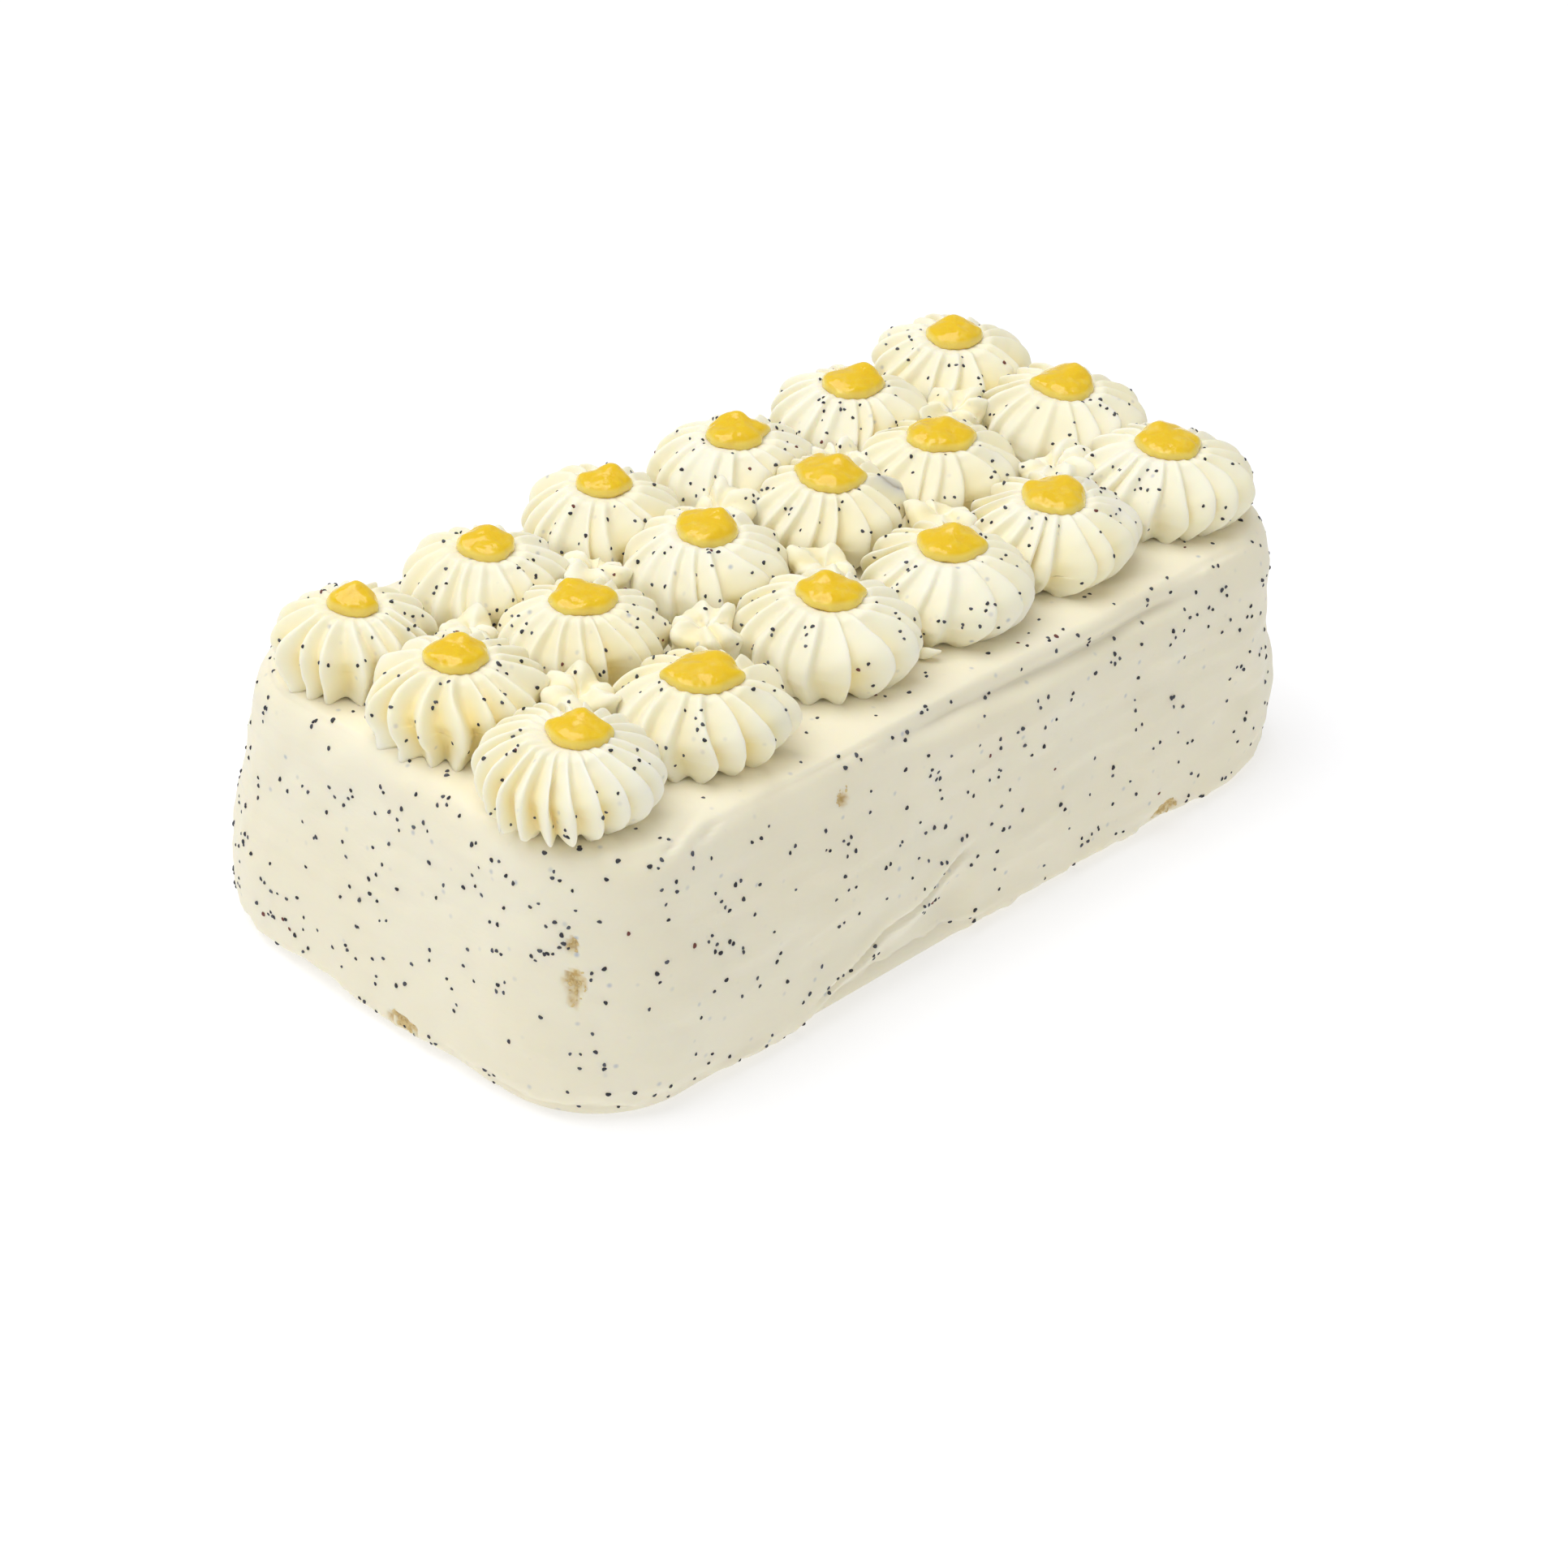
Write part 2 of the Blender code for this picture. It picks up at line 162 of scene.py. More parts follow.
# How deep the patches lie, how uneven they are, and how their outline wavers and fades
BARE_DEPTH = 0.9
BARE_UNEVEN = (1.5, 0.35)
BARE_RAGGED = ((2.4, 0.45), (1.1, 0.25))
BARE_EDGE = 0.35

# The piping, as the CAD has it
PITCH = 42.5
ROW_Y = (-37.0, 4.5, 38.5)
REACH = 22.0
GAP = 0.3
RIM_HEIGHT = 18.4
# Off the grid along and across, size, height, crests round it, and twist in degrees
PIPED = (
    ((-3, 0, 1.02, 1.04, 22, -6), (-4, -2, 1.00, 1.00, 16, -8), (1, 3, 1.04, 1.04, 17, -4),
     (-1, 1, 1.01, 0.98, 17, 14), (-5, 0, 1.04, 0.98, 19, 16), (-5, -2, 1.02, 1.02, 18, 8)),
    ((1, 0, 1.00, 1.00, 17, -10), (-1, 0, 0.94, 0.96, 19, -10), (1, 3, 1.00, 1.04, 17, -6),
     (3, 3, 0.98, 0.98, 18, 8), (-3, -1, 0.98, 0.96, 17, 10), (0, -4, 1.03, 1.00, 17, 12)),
    ((0, 1, 0.89, 0.95, 17, -8), (-1, 0, 0.95, 0.96, 17, -12), (-1, 3, 0.96, 0.98, 17, -6),
     (0, -1, 1.00, 1.00, 16, -8), (1, -1, 0.97, 0.98, 17, 10), (-1, 0, 1.03, 1.00, 17, 14)),
)
# How wide each rosette stands on its toes, as a share of its reach, and how far its crests
# lean over the next groove, as a share of their spacing
TOE_SHARE = (
    (0.68, 0.72, 0.74, 0.68, 0.70, 0.72),
    (0.88, 0.80, 0.74, 0.72, 0.72, 0.74),
    (0.84, 0.84, 0.76, 0.78, 0.76, 0.74),
)
CREST_LEAN = (
    (0.40, 0.42, 0.46, 0.54, 0.54, 0.50),
    (0.05, 0.28, 0.44, 0.50, 0.52, 0.50),
    (-0.10, 0.10, 0.34, 0.40, 0.44, 0.44),
)
# From above the toes over the bulge and the rim into the dip: share of the reach, height, and
# how deep the scoops between the crests are there
ROSETTE_SIDE = (
    (0.90, 3.6, 3.7), (1.00, 7.8, 4.3), (0.985, 10.8, 4.1), (0.92, 13.2, 3.6), (0.80, 15.3, 3.2),
    (0.67, 16.8, 2.6), (0.55, 17.8, 1.9), (0.46, 18.3, 1.1), (0.36, 17.9, 0.4), (0.20, 17.0, 0.0),
    (0.0, 16.4, 0.0),
)
TOE_SCOOP = 2.8
# Where the scoops are this deep, the crests lean and wander in full, and the yellow shade
# painted into them is full
LEAN_SCOOP = 3.6
SCOOP_FULL_SHADE = 4.6
# The scoops are this much of the crests' own edge and the rest a plain wave, to this power
SCOOP_OWN = 0.7
SCOOP_POWER = 1.3
# How rounded the crests are, how unevenly they are spaced, and how much they differ
CREST_EDGE = 0.20
CREST_UNEVEN = 0.30
FIRST_UNEVEN = 0.10
EDGE_DIFFERS = 0.5
DEPTH_DIFFERS = 0.35
LEAN_DIFFERS = 0.3
REACH_DIFFERS = 0.035
ARCH_DIFFERS = 0.7
# How much softer the piping is on the side that met the rosette before it, where it slopes
# down and its foot is filled out up to this height
SOFT_TOWARDS = 3.15
SOFT_SHARE = 0.4
SOFT_SLOPE = 2.6
SOFT_FOOT = 0.4
SOFT_FOOT_HEIGHT = 8.0
# The crests lean more on one side of the rosette than on the other, by this share
LEAN_TURNS = 0.5
LEAN_FROM = 3.87
CREST_COLUMNS = 16
ROSETTE_ROWS = 64
# Rows of the ball: the underside ends and the dip starts at these shares of the way up it,
# where the side is this far along. The middle of the underside is higher than the toes
UNDER_SHARE = 0.07
DIP_SHARE = 0.93
DIP_WAY = 0.80
UNDER_RISE = 2.0
# Toes: their share of the side, how far they spread, how high the scoops arch between them
# and how deep they stand in the coat, which the rosette follows up to this height
TOE_WAY = 0.05
TOE_SPREAD = 0.5
TOE_ARCH = 0.6
TOE_SUNK = 0.5
TOE_FOLLOW = 9.0
# How softly neighbours press on each other, how many reaches apart they can't touch, and how
# far each rosette is from round
PRESS_SOFT = 0.7
PRESS_APART = 2.6
OVAL = 0.03
# Soft lumps and the drag of the tip: how far apart, how deep
PIPED_UNEVEN = ((7.0, 0.28), (2.6, 0.10), (1.1, 0.035))

# The curd drops
CURD_WIDTH = (
    (15.4, 18.8, 16.8, 16.2, 17.0, 17.2),
    (16.0, 15.8, 16.0, 17.6, 17.6, 15.4),
    (12.4, 14.0, 14.4, 16.0, 16.2, 16.2),
)
# How high the middle of the dip is, and how far above and behind it the drop is placed
DIP_HEIGHT = 16.9
CURD_LIFT = 2.1
CURD_BACK = 0.5
# How far each drop lies to the right of its dip, and its depth against its width, both as
# seen from the near corner
CURD_ASIDE = (
    (2.1, -0.4, 0.0, 0.6, 0.0, 0.1),
    (-0.4, -0.4, 0.1, -0.4, 0.0, 0.4),
    (0.1, 0.1, 0.2, -0.4, 0.0, 0.0),
)
CURD_DEEP = (
    (0.80, 0.86, 0.84, 1.04, 1.04, 1.0),
    (0.90, 0.96, 1.04, 1.0, 0.98, 1.16),
    (0.86, 0.96, 0.84, 0.96, 0.98, 0.86),
)
SEEN_RIGHT = (0.667, -0.745)
SEEN_BACK = (0.745, 0.667)
CURD_COLUMNS = 80
CURD_ROWS = 44
CURD_UNDER = 0.16
# From the underside over the edge to the top: share of the half width, height
CURD_SIDE = (
    (0.80, -3.0), (0.95, -1.7), (0.985, -0.9), (0.95, 0.1), (0.81, 1.1), (0.56, 1.8), (0.28, 2.1),
    (0.0, 2.2),
)
# The way that the corners of each drop point, in radians, how far they stand out as a share
# of the half width, and how wide they are
CORNERS_TOWARDS = (0.15, 2.95)
CORNER_OUT = (0.02, 0.2)
CORNER_WIDE = 0.34
# The peak: how far off the middle as a share of the half width, how high, how wide
PEAK_ASIDE = (0.4, 0.62)
PEAK_RISE = (1.2, 2.2)
PEAK_WIDE = 3.4
CURD_UNEVEN = ((3.6, 0.40), (1.5, 0.20))
# Where the edge begins to turn paler, as a share of the half width, and how pale it gets
THIN_FROM = 0.84
THIN_MOST = 0.7

# The small stars between four rosettes. From the foot over the lobes into the middle: share
# of the reach, height
STAR_REACH = 9.4
STAR_SIDE = (
    (0.98, 0.0), (0.94, 4.0), (0.92, 8.0), (1.0, 10.4), (0.90, 12.2), (0.66, 13.0), (0.42, 12.8),
    (0.20, 11.0), (0.0, 8.6),
)
STAR_COLUMNS = 14
STAR_ROWS = 44
STAR_UNDER = 0.06
# How far the lobes differ in reach, height and place, how deep the scoops between them are
# inwards and downwards, and how far the star is twisted
LOBE_REACH = 0.26
LOBE_RISE = 2.2
LOBE_ASIDE = 0.34
STAR_SCOOP = 0.22
STAR_DIP = 1.8
STAR_TWIST = 0.7
# How much yellow shade is painted into the star's scoops
STAR_SCOOP_SHADE = 0.35
STAR_UNEVEN = ((4.0, 1.0), (1.8, 0.4))

# The stray curl of cream: where it lies, the way it points in degrees, half its length and
# width, and the height of its middle
CURL_AT = (-0.5, -49.5)
CURL_BEARING = -58.0
CURL_LONG = 3.1
CURL_WIDE = 2.1
CURL_HEIGHT = 1.9

# Poppy seeds: their length, width, thickness and bend, how much they differ in size, how much
# smaller they are on the piping, how deep they sit and how many are red
SEED_LONG = 1.45
SEED_SHORT = 1.08
SEED_THICK = 1.0
SEED_BEND = 0.35
SEED_SIZE = (0.72, 1.04)
PIPED_SEED_SIZE = 0.86
SEED_SUNK = (0.0, 0.30)
SEED_RED_SHARE = 0.03
# How many places are tried on each piece, the share of them that lie close to another, and
# how close
COAT_SEEDS = 1010
TOP_SEEDS = 230
ROSETTE_SEEDS = 63
STAR_SEEDS = 9
SEED_PAIRED = 0.18
SEED_CLOSE = (1.3, 3.0)
# Up to this slope a surface counts as level, and the near end has this many more seeds
LEVEL = 0.75
MORE_AT_END = 0.3
# How far from a rosette's middle the coat and the piping bear seeds, and from what height
# over the coat a seed counts as on the piping
CLEAR_OF_PIPING = 17.0
CLEAR_OF_CURD = 8.4
PIPING_FROM = 2.0

# Crumbs of sponge: how many in a patch for its half width times half height, their size, how
# much larger the low ones are, and how deep they sit
CRUMBS_EACH = 2.6
CRUMB_SIZE = (0.5, 1.5)
LOW_CRUMB_SIZE = 1.5
CRUMB_SUNK = 0.25

# Where each kind's random draws start
ROSETTE_DRAW = 100
CURD_DRAW = 300
STAR_DRAW = 500
SEED_DRAW = 41
CRUMB_DRAW = 73

# Colours, as sRGB
COAT_PALE = "#F3EDD6"
COAT_DEEP = "#EEE4C4"
PIPED_PALE = "#FBF6E3"
# The deeper piped tone, which is also the yellow shade painted into the scoops
PIPED_TONE_AND_SHADE = "#F9E7A6"
SUNK_SEED = "#BEC3C8"
SPONGE_LIGHT = "#EAD9A8"
SPONGE_DARK = "#CFAE6B"
CURD_BODY = "#EDC60E"
CURD_THIN = "#F7DF80"
SEED_BLACK = "#26262F"
SEED_SLATE = "#70747E"
SEED_RED = "#6E3A34"
PAPER_GREY = "#C9C9CC"

# The camera, as fitted to the photograph
CAMERA_LENS = 96.08
CAMERA_AZIMUTH = -48.16
CAMERA_ELEVATION = 33.01
CAMERA_ROLL = 3.55
CAMERA_AWAY = 1060.6
CAMERA_SHIFT = (3.66, -19.91)
CAMERA_AIM = 33.75

# The studio: metres and watts
ROOM_LIGHT = 0.50
KEY_TOWARDS = (-0.23, 0.20, 0.95)
KEY_AWAY = 2.2
KEY_AIM = 0.05
KEY_SIZE = 2.0
KEY_POWER = 35.0
PAPER_SIZE = 12.0
PAPER_GLOW = 0.48

# Each size of ball is made once
BALLS = {}


# Helpers

def linear(hex_colour):
    """Turn an sRGB hex colour into linear RGBA."""
    shares = [int(hex_colour[i:i + 2], 16) / 255 for i in (1, 3, 5)]
    return [c / 12.92 if c <= 0.04045 else ((c + 0.055) / 1.055) ** 2.4 for c in shares] + [1.0]


def add_node(tree, kind, settings=None, links=None):
    """Add a shader node with its settings and links. A number is an input's place in the list."""
    node = tree.nodes.new(kind)
    for name, value in (settings or {}).items():
        if isinstance(name, int) or name in node.inputs:
            node.inputs[name].default_value = value
        else:
            setattr(node, name, value)
    for name, source in (links or {}).items():
        tree.links.new(source, node.inputs[name])
    return node


def deselect():
    """Nothing is selected before a new primitive is added."""
    for piece in bpy.context.selected_objects:
        piece.select_set(False)


def lumps(points, size, seed):
    """Smooth random relief from -1 to 1, with lumps about that many millimetres apart."""
    side = 64
    lattice = np.random.default_rng(seed).uniform(-1.0, 1.0, (side, side, side))
    spot = points / size
    cell = np.floor(spot).astype(int)
    share = spot - cell
    share = share * share * (3.0 - 2.0 * share)
    total = np.zeros(len(points))
    for corner in itertools.product((0, 1), repeat=3):
        weight = np.prod(np.where(corner, share, 1.0 - share), axis=1)
        index = (cell + corner) % side
        total += weight * lattice[index[:, 0], index[:, 1], index[:, 2]]
    return total


def unevenness(points, sizes, *seeds):
    """Relief from lumps of several sizes. A seed only says which pattern it is."""
    return sum(depth * lumps(points, apart, seed) for (apart, depth), seed in zip(sizes, seeds))


def wandering(points, wander, seed):
    """How far a line along the wall strays up or down at each place."""
    apart, far = wander
    return far * lumps(points * (1.0, 0.0, 0.0), apart, seed)


def ridges(above, rows):
    """Rises and hollows that follow a line: how far above it, half width, rise."""
    return sum(rise * np.exp(-((above - at) / half) ** 2) for at, half, rise in rows)


def curve_through(knots, count):
    """Evenly spaced points on a smooth curve through the given ones."""
    knots = np.array(knots, float)
    padded = np.vstack((2 * knots[0] - knots[1], knots, 2 * knots[-1] - knots[-2]))
    place = np.linspace(0.0, len(knots) - 1.0, 40 * len(knots))
    index = np.minimum(place.astype(int), len(knots) - 2)
    f = (place - index)[:, None]
    a, b, c, d = (padded[index + k] for k in range(4))
    path = 0.5 * (2 * b + (c - a) * f + (2 * a - 5 * b + 4 * c - d) * f ** 2
                  + (3 * b - a - 3 * c + d) * f ** 3)
    steps = np.linalg.norm(np.diff(path[:, :2], axis=0), axis=1)
    run = np.concatenate(([0.0], np.cumsum(steps)))
    even = np.linspace(0.0, run[-1], count)
    return np.column_stack([np.interp(even, run, column) for column in path.T])


def read_along(side, way):
    """Each column of a side, read at shares of the way along it."""
    even = np.linspace(0.0, 1.0, len(side))
    return [np.interp(way, even, column) for column in side.T]


def smooth_step(value):
    """Rise smoothly from 0 to 1 as the value goes from 0 to 1."""
    share = np.clip(value, 0.0, 1.0)
    return share * share * (3.0 - 2.0 * share)


def smooth_excess(value):
    """How far a value lies past zero, with a soft start."""
    return np.maximum(value, 0.0) + np.log1p(np.exp(-np.abs(value)))


def read_points(piece):
    """The places of a piece's vertices, in millimetres."""
    points = np.empty(3 * len(piece.data.vertices))
    piece.data.vertices.foreach_get("co", points)
    return points.reshape(-1, 3) / MM


def write_points(piece, points):
    """Move a piece's vertices, and keep them inside the CAD's box."""
    low, high = np.array(CAD_LOW), np.array(CAD_HIGH)
    piece.data.vertices.foreach_set("co", np.clip(points * MM, low, high).ravel())
    piece.data.update()


def read_normals(piece):
    """The outward direction at each of a piece's vertices."""
    normals = np.empty(3 * len(piece.data.vertices))
    piece.data.vertex_normals.foreach_get("vector", normals)
    return normals.reshape(-1, 3)


def write_attribute(piece, name, values):
    """Store one number per vertex for a material to read."""
    attribute = piece.data.attributes.new(name, "FLOAT", "POINT")
    attribute.data.foreach_set("value", np.asarray(values, np.float32))


def surface_tree(piece):
    """A search tree over a piece's faces, in metres."""
    mesh = piece.data
    corners = [v.co for v in mesh.vertices]
    return BVHTree.FromPolygons(corners, [tuple(p.vertices) for p in mesh.polygons])


def numbered_in_rings(ball, columns, rows):
    """A copy of a new ball's mesh, numbered ring by ring from the top.

    A primitive's own numbering changes from run to run, and the seeds are drawn by number.
    """
    points = read_points(ball)
    drop = np.arctan2(np.hypot(points[:, 0], points[:, 1]), points[:, 2])
    ring = np.round(drop / math.pi * rows).astype(int)
    inner = (ring > 0) & (ring < rows)
    phase = np.arctan2(points[:, 1], points[:, 0]) / math.tau * columns
    # The columns start at the X axis or half a column off it
    start = abs(np.round(np.angle(np.exp(1j * math.tau * phase[inner]).mean()) / math.pi)) / 2
    column = np.where(inner, np.round(phase - start).astype(int) % columns, 0)
    places, number = np.unique(ring * columns + column, return_inverse=True)
    drop = math.pi * (places // columns) / rows
    turn = math.tau * (places % columns + start) / columns
    even = np.column_stack((np.sin(drop) * np.cos(turn), np.sin(drop) * np.sin(turn), np.cos(drop)))
    faces = []
    for face in ball.data.polygons:
        corners = [int(number[vertex]) for vertex in face.vertices]
        first = corners.index(min(corners))
        faces.append(corners[first:] + corners[:first])
    mesh = bpy.data.meshes.new("ball")
    mesh.from_pydata((even * MM).tolist(), [], sorted(faces))
    return mesh


def new_ball(columns, rows, splits=0):
    """Add a ball, with the turn about its axis and the way from bottom to top of each vertex.

    Each size of ball is made once and then copied. A split cuts every face in four.
    """
    if (columns, rows) not in BALLS:
        deselect()
        bpy.ops.mesh.primitive_uv_sphere_add(segments=columns, ring_count=rows, radius=MM)
        first = bpy.context.object
        BALLS[columns, rows] = numbered_in_rings(first, columns, rows)
        bpy.data.objects.remove(first)
    ball = bpy.data.objects.new("ball", BALLS[columns, rows].copy())
    bpy.context.scene.collection.objects.link(ball)
    if splits:
        finer = ball.modifiers.new("Finer", "SUBSURF")
        finer.subdivision_type = "SIMPLE"
        finer.levels = splits
        finer.render_levels = splits
        bpy.context.view_layer.objects.active = ball
        bpy.ops.object.modifier_apply(modifier=finer.name)
    points = read_points(ball)
    turn = np.arctan2(points[:, 1], points[:, 0])
    rise = 1.0 - np.arctan2(np.hypot(points[:, 0], points[:, 1]), points[:, 2]) / math.pi
    return ball, turn, rise


def dress(piece, name, material, slot, *nodes):
    """Name a piece, give it its finish, attach it to the root and hide the CAD parts it replaces.
    """
    piece.name = name
    piece.data.name = name
    piece.data.materials.append(material)
    piece.data.shade_smooth()
    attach(piece, "root")
    if nodes:
        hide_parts(*nodes)
    return piece


# Materials

def new_material(name, finish):
    """Start a material whose shader has these values, and give its nodes and shader as well."""
    material = bpy.data.materials.new(name)
    material.use_nodes = True
    shader = material.node_tree.nodes["Principled BSDF"]
    for socket, value in finish.items():
        shader.inputs[socket].default_value = value
    return material, material.node_tree, shader


def own_place(tree):
    """Places in the piece's own metres."""
    return add_node(tree, "ShaderNodeTexCoord").outputs["Object"]


def stored(tree, name):
    """The numbers that a piece's vertices hold under a name."""
    return add_node(tree, "ShaderNodeAttribute", {"attribute_name": name}).outputs["Fac"]


def clouds(tree, place, apart, detail):
    """A cloudy pattern, its clouds that many millimetres apart."""
    return add_node(tree, "ShaderNodeTexNoise", {"Scale": 1000 / apart, "Detail": detail},
                    {"Vector": place}).outputs["Fac"]


def stretch(tree, pattern, low, high, most=1.0, kind="LINEAR"):
    """Spread what lies between two values of a pattern from 0 to the most."""
    settings = {"interpolation_type": kind, "From Min": low, "From Max": high, "To Max": most}
    return add_node(tree, "ShaderNodeMapRange", settings, {"Value": pattern}).outputs["Result"]


def reckon(tree, operation, first, second):
    """Multiply two patterns, or take the larger."""
    return add_node(tree, "ShaderNodeMath", {"operation": operation},
                    {0: first, 1: second}).outputs["Value"]


def blend(tree, share, first, second):
    """Turn one colour into another. Each is a hex colour or comes from a node."""
    settings, links = {"data_type": "RGBA"}, {0: share}
    for socket, colour in ((6, first), (7, second)):
        if isinstance(colour, str):
            settings[socket] = linear(colour)
        else:
            links[socket] = colour
    return add_node(tree, "ShaderNodeMix", settings, links).outputs[2]


def fine_relief(tree, pattern, strength, deep, over=None):
    """Fine relief that many millimetres deep, over coarser relief where there is some."""
    links = {"Height": pattern, "Normal": over} if over else {"Height": pattern}
    return add_node(tree, "ShaderNodeBump", {"Strength": strength, "Distance": deep * MM},
                    links).outputs["Normal"]


def join_up(tree, shader, colour, normal):
    """Give the shader its colour and its relief."""
    tree.links.new(colour, shader.inputs["Base Color"])
    tree.links.new(normal, shader.inputs["Normal"])


def poppy_buttercream(name, pale, deep, bare):
    """Poppy seed buttercream: ivory, satin, and a little translucent, so its hollows glow warm.

    Seeds just under the surface show as soft blue-grey spots. The fold attribute paints a
    yellow shade into the piped scoops, more where they are deeper, and where the coat was
    dragged thin, bare turns it to sponge.
    """
    material, tree, shader = new_material(name, {
        "Roughness": 0.52, "IOR": 1.46, "Subsurface Weight": 0.5,
        "Subsurface Radius": (1.0, 0.82, 0.42), "Subsurface Scale": 3.0 * MM,
    })
    place = own_place(tree)
    # Slow drifts of tone where the cream lies thick or thin, 35 mm apart
    tone = stretch(tree, clouds(tree, place, 35.0, 3.0), 0.35, 0.65)
    # Add the yellow shade that the fold attribute paints into the piped scoops
    depth = add_node(tree, "ShaderNodeMath", {"operation": "MULTIPLY_ADD", 1: 0.3},
                     {0: tone, 2: stored(tree, "fold")})
    cream = blend(tree, depth.outputs["Value"], pale, deep)
    # Sunk seeds, one in each cell of about 5 mm, a third of them too deep to show
    cells = add_node(tree, "ShaderNodeTexVoronoi", {"Scale": 1000 / 5.0}, {"Vector": place})
    spot = stretch(tree, cells.outputs["Distance"], 0.19, 0.02, kind="SMOOTHSTEP")
    chance = add_node(tree, "ShaderNodeSeparateColor", {}, {"Color": cells.outputs["Color"]})
    near = stretch(tree, chance.outputs["Red"], 0.35, 1.0)
    colour = blend(tree, reckon(tree, "MULTIPLY", spot, near), cream, SUNK_SEED)
    # The skin of the cream: faint pores and drag marks 1.2 mm apart
    skin = fine_relief(tree, clouds(tree, place, 1.2, 2.0), 0.25, 0.12)
    if bare:
        # Drags of the blade, 6 mm apart and twice as long
        level = add_node(tree, "ShaderNodeVectorMath",
                         {"operation": "MULTIPLY", 1: (0.5, 0.5, 1.0)}, {0: place})
        streaks = clouds(tree, level.outputs["Vector"], 6.0, 4.0)
        skin = fine_relief(tree, streaks, 0.5, 1.0, skin)
        crumb = stretch(tree, clouds(tree, place, 1.6, 4.0), 0.38, 0.62)
        sponge = blend(tree, crumb, SPONGE_DARK, SPONGE_LIGHT)
        colour = blend(tree, stored(tree, "bare"), colour, sponge)
    join_up(tree, shader, colour, skin)
    return material


def cooked_curd():
    """Cooked lemon curd: an egg-yellow gel that shines wet and lets light through its edges."""
    material, tree, shader = new_material("Cooked lemon curd", {
        "Roughness": 0.16, "IOR": 1.42, "Subsurface Weight": 0.6,
        "Subsurface Radius": (1.0, 0.8, 0.12), "Subsurface Scale": 4.0 * MM,
        "Coat Weight": 0.3, "Coat Roughness": 0.06,
    })
    place = own_place(tree)
    # Cloudy streaks of zest and egg 3 mm apart, and ripples 1.5 mm apart
    pale = stretch(tree, clouds(tree, place, 3.0, 3.0), 0.5, 0.8, 0.35)
    paler = reckon(tree, "MAXIMUM", pale, stored(tree, "thin"))
    ripples = fine_relief(tree, clouds(tree, place, 1.5, 2.0), 0.5, 0.3)
    join_up(tree, shader, blend(tree, paler, CURD_BODY, CURD_THIN), ripples)
    return material


def dry_seed():
    """Blue poppy seed: matt and nearly black, slate where cream clouds it, a few of them brown."""
    material, tree, shader = new_material("Blue poppy seed", {"Roughness": 0.6})
    cloudy = blend(tree, stored(tree, "tone"), SEED_BLACK, SEED_SLATE)
    colour = blend(tree, stored(tree, "ripe"), cloudy, SEED_RED)
    # The seed's net of ridges, 0.25 mm apart
    net = add_node(tree, "ShaderNodeTexVoronoi", {"Scale": 1000 / 0.25},
                   {"Vector": own_place(tree)})
    join_up(tree, shader, colour, fine_relief(tree, net.outputs["Distance"], 0.4, 0.04))
    return material


def torn_sponge():
    """Baked lemon sponge: a dry, open crumb, gold where it browned and pale inside."""
    material, tree, shader = new_material("Baked lemon sponge", {"Roughness": 0.85})
    crumb = clouds(tree, own_place(tree), 1.0, 4.0)
    colour = blend(tree, crumb, SPONGE_DARK, SPONGE_LIGHT)
    join_up(tree, shader, colour, fine_relief(tree, crumb, 0.8, 0.3))
    return material


# The coated loaf

def spatula_relief(points):
    """How far the coat stands out where the spatula left it thicker."""
    x, y, height = points.T
    wave = np.sin(x / 27.0 + height / 40.0) * np.cos(y / 24.0 - 0.6)
    wave += 0.6 * np.sin(x / 15.0 - height / 21.0 + y / 19.0 + 1.3)
    relief = WAVE_DEPTH * wave - SCRAPED + unevenness(points, UNEVEN, 4, 5, 6)
    relief += STREAK_DEPTH * lumps(points * STREAK_STRETCH, STREAK_APART, 8)
    front = smooth_step((-y - WIDTH / 2 + CORNER_RADIUS) / FRONT_FADE)
    return relief + front * (crease(points) + channel(points)) + blade_marks(points)


def crease(points):
    """The fold: a notch under a lip, and the wall tucked in below it."""
    x, _, height = points.T
    slope = (CREASE_START[1] - CREASE_END[1]) / (CREASE_START[0] - CREASE_END[0])
    line = CREASE_END[1] + (x - CREASE_END[0]) * slope
    above = height - line - wandering(points, CREASE_WANDER, 3)
    within = smooth_step((CREASE_START[0] - x) / CREASE_FADES[0])
    within *= smooth_step((x - CREASE_END[0]) / CREASE_FADES[1])
    tuck = CREASE_TUCK * smooth_step(-above / CREASE_TUCK_FULL)
    return within * (ridges(above, CREASE_RIDGES) - tuck)


def channel(points):
    """The hollow under the top edge, where the blade turned down, and the bulges beside it."""
    x, _, height = points.T
    within = smooth_step((x - CHANNEL_FROM) / CHANNEL_FADES[0])
    within *= smooth_step((CHANNEL_TO - x) / CHANNEL_FADES[1])
    middle = CHANNEL_HEIGHT + CHANNEL_SLOPE * x + wandering(points, CHANNEL_WANDER, 14)
    return within * ridges(height - middle, CHANNEL_RIDGES)


def blade_marks(points):
    """Bumps, lips and slits, each in its place, and the ragged foot of the wall."""
    relief = np.zeros(len(points))
    for at_x, at_y, at_z, along, up, rise in SWELLINGS:
        off = (points - (at_x, at_y, at_z)) / (along, along, up)
        relief += rise * np.exp(-(off ** 2).sum(axis=1))
    ragged = 1.0 + STROKE_RAGGED[1] * lumps(points, STROKE_RAGGED[0], 15)
    for start, end, half_width, rise in STROKES:
        run = np.subtract(end, start)
        share = np.clip((points - start) @ run / (run @ run), 0.0, 1.0)
        off = np.linalg.norm(points - start - share[:, None] * run, axis=1) / half_width
        fade = 0.3 + 0.7 * np.sin(math.pi * share)
        relief += rise * fade * np.exp(-(off * ragged) ** 2)
    foot = smooth_step((BASE_HEIGHT - points[:, 2]) / BASE_FADE)
    return relief + foot * unevenness(points, BASE_RAGGED, 16, 17)


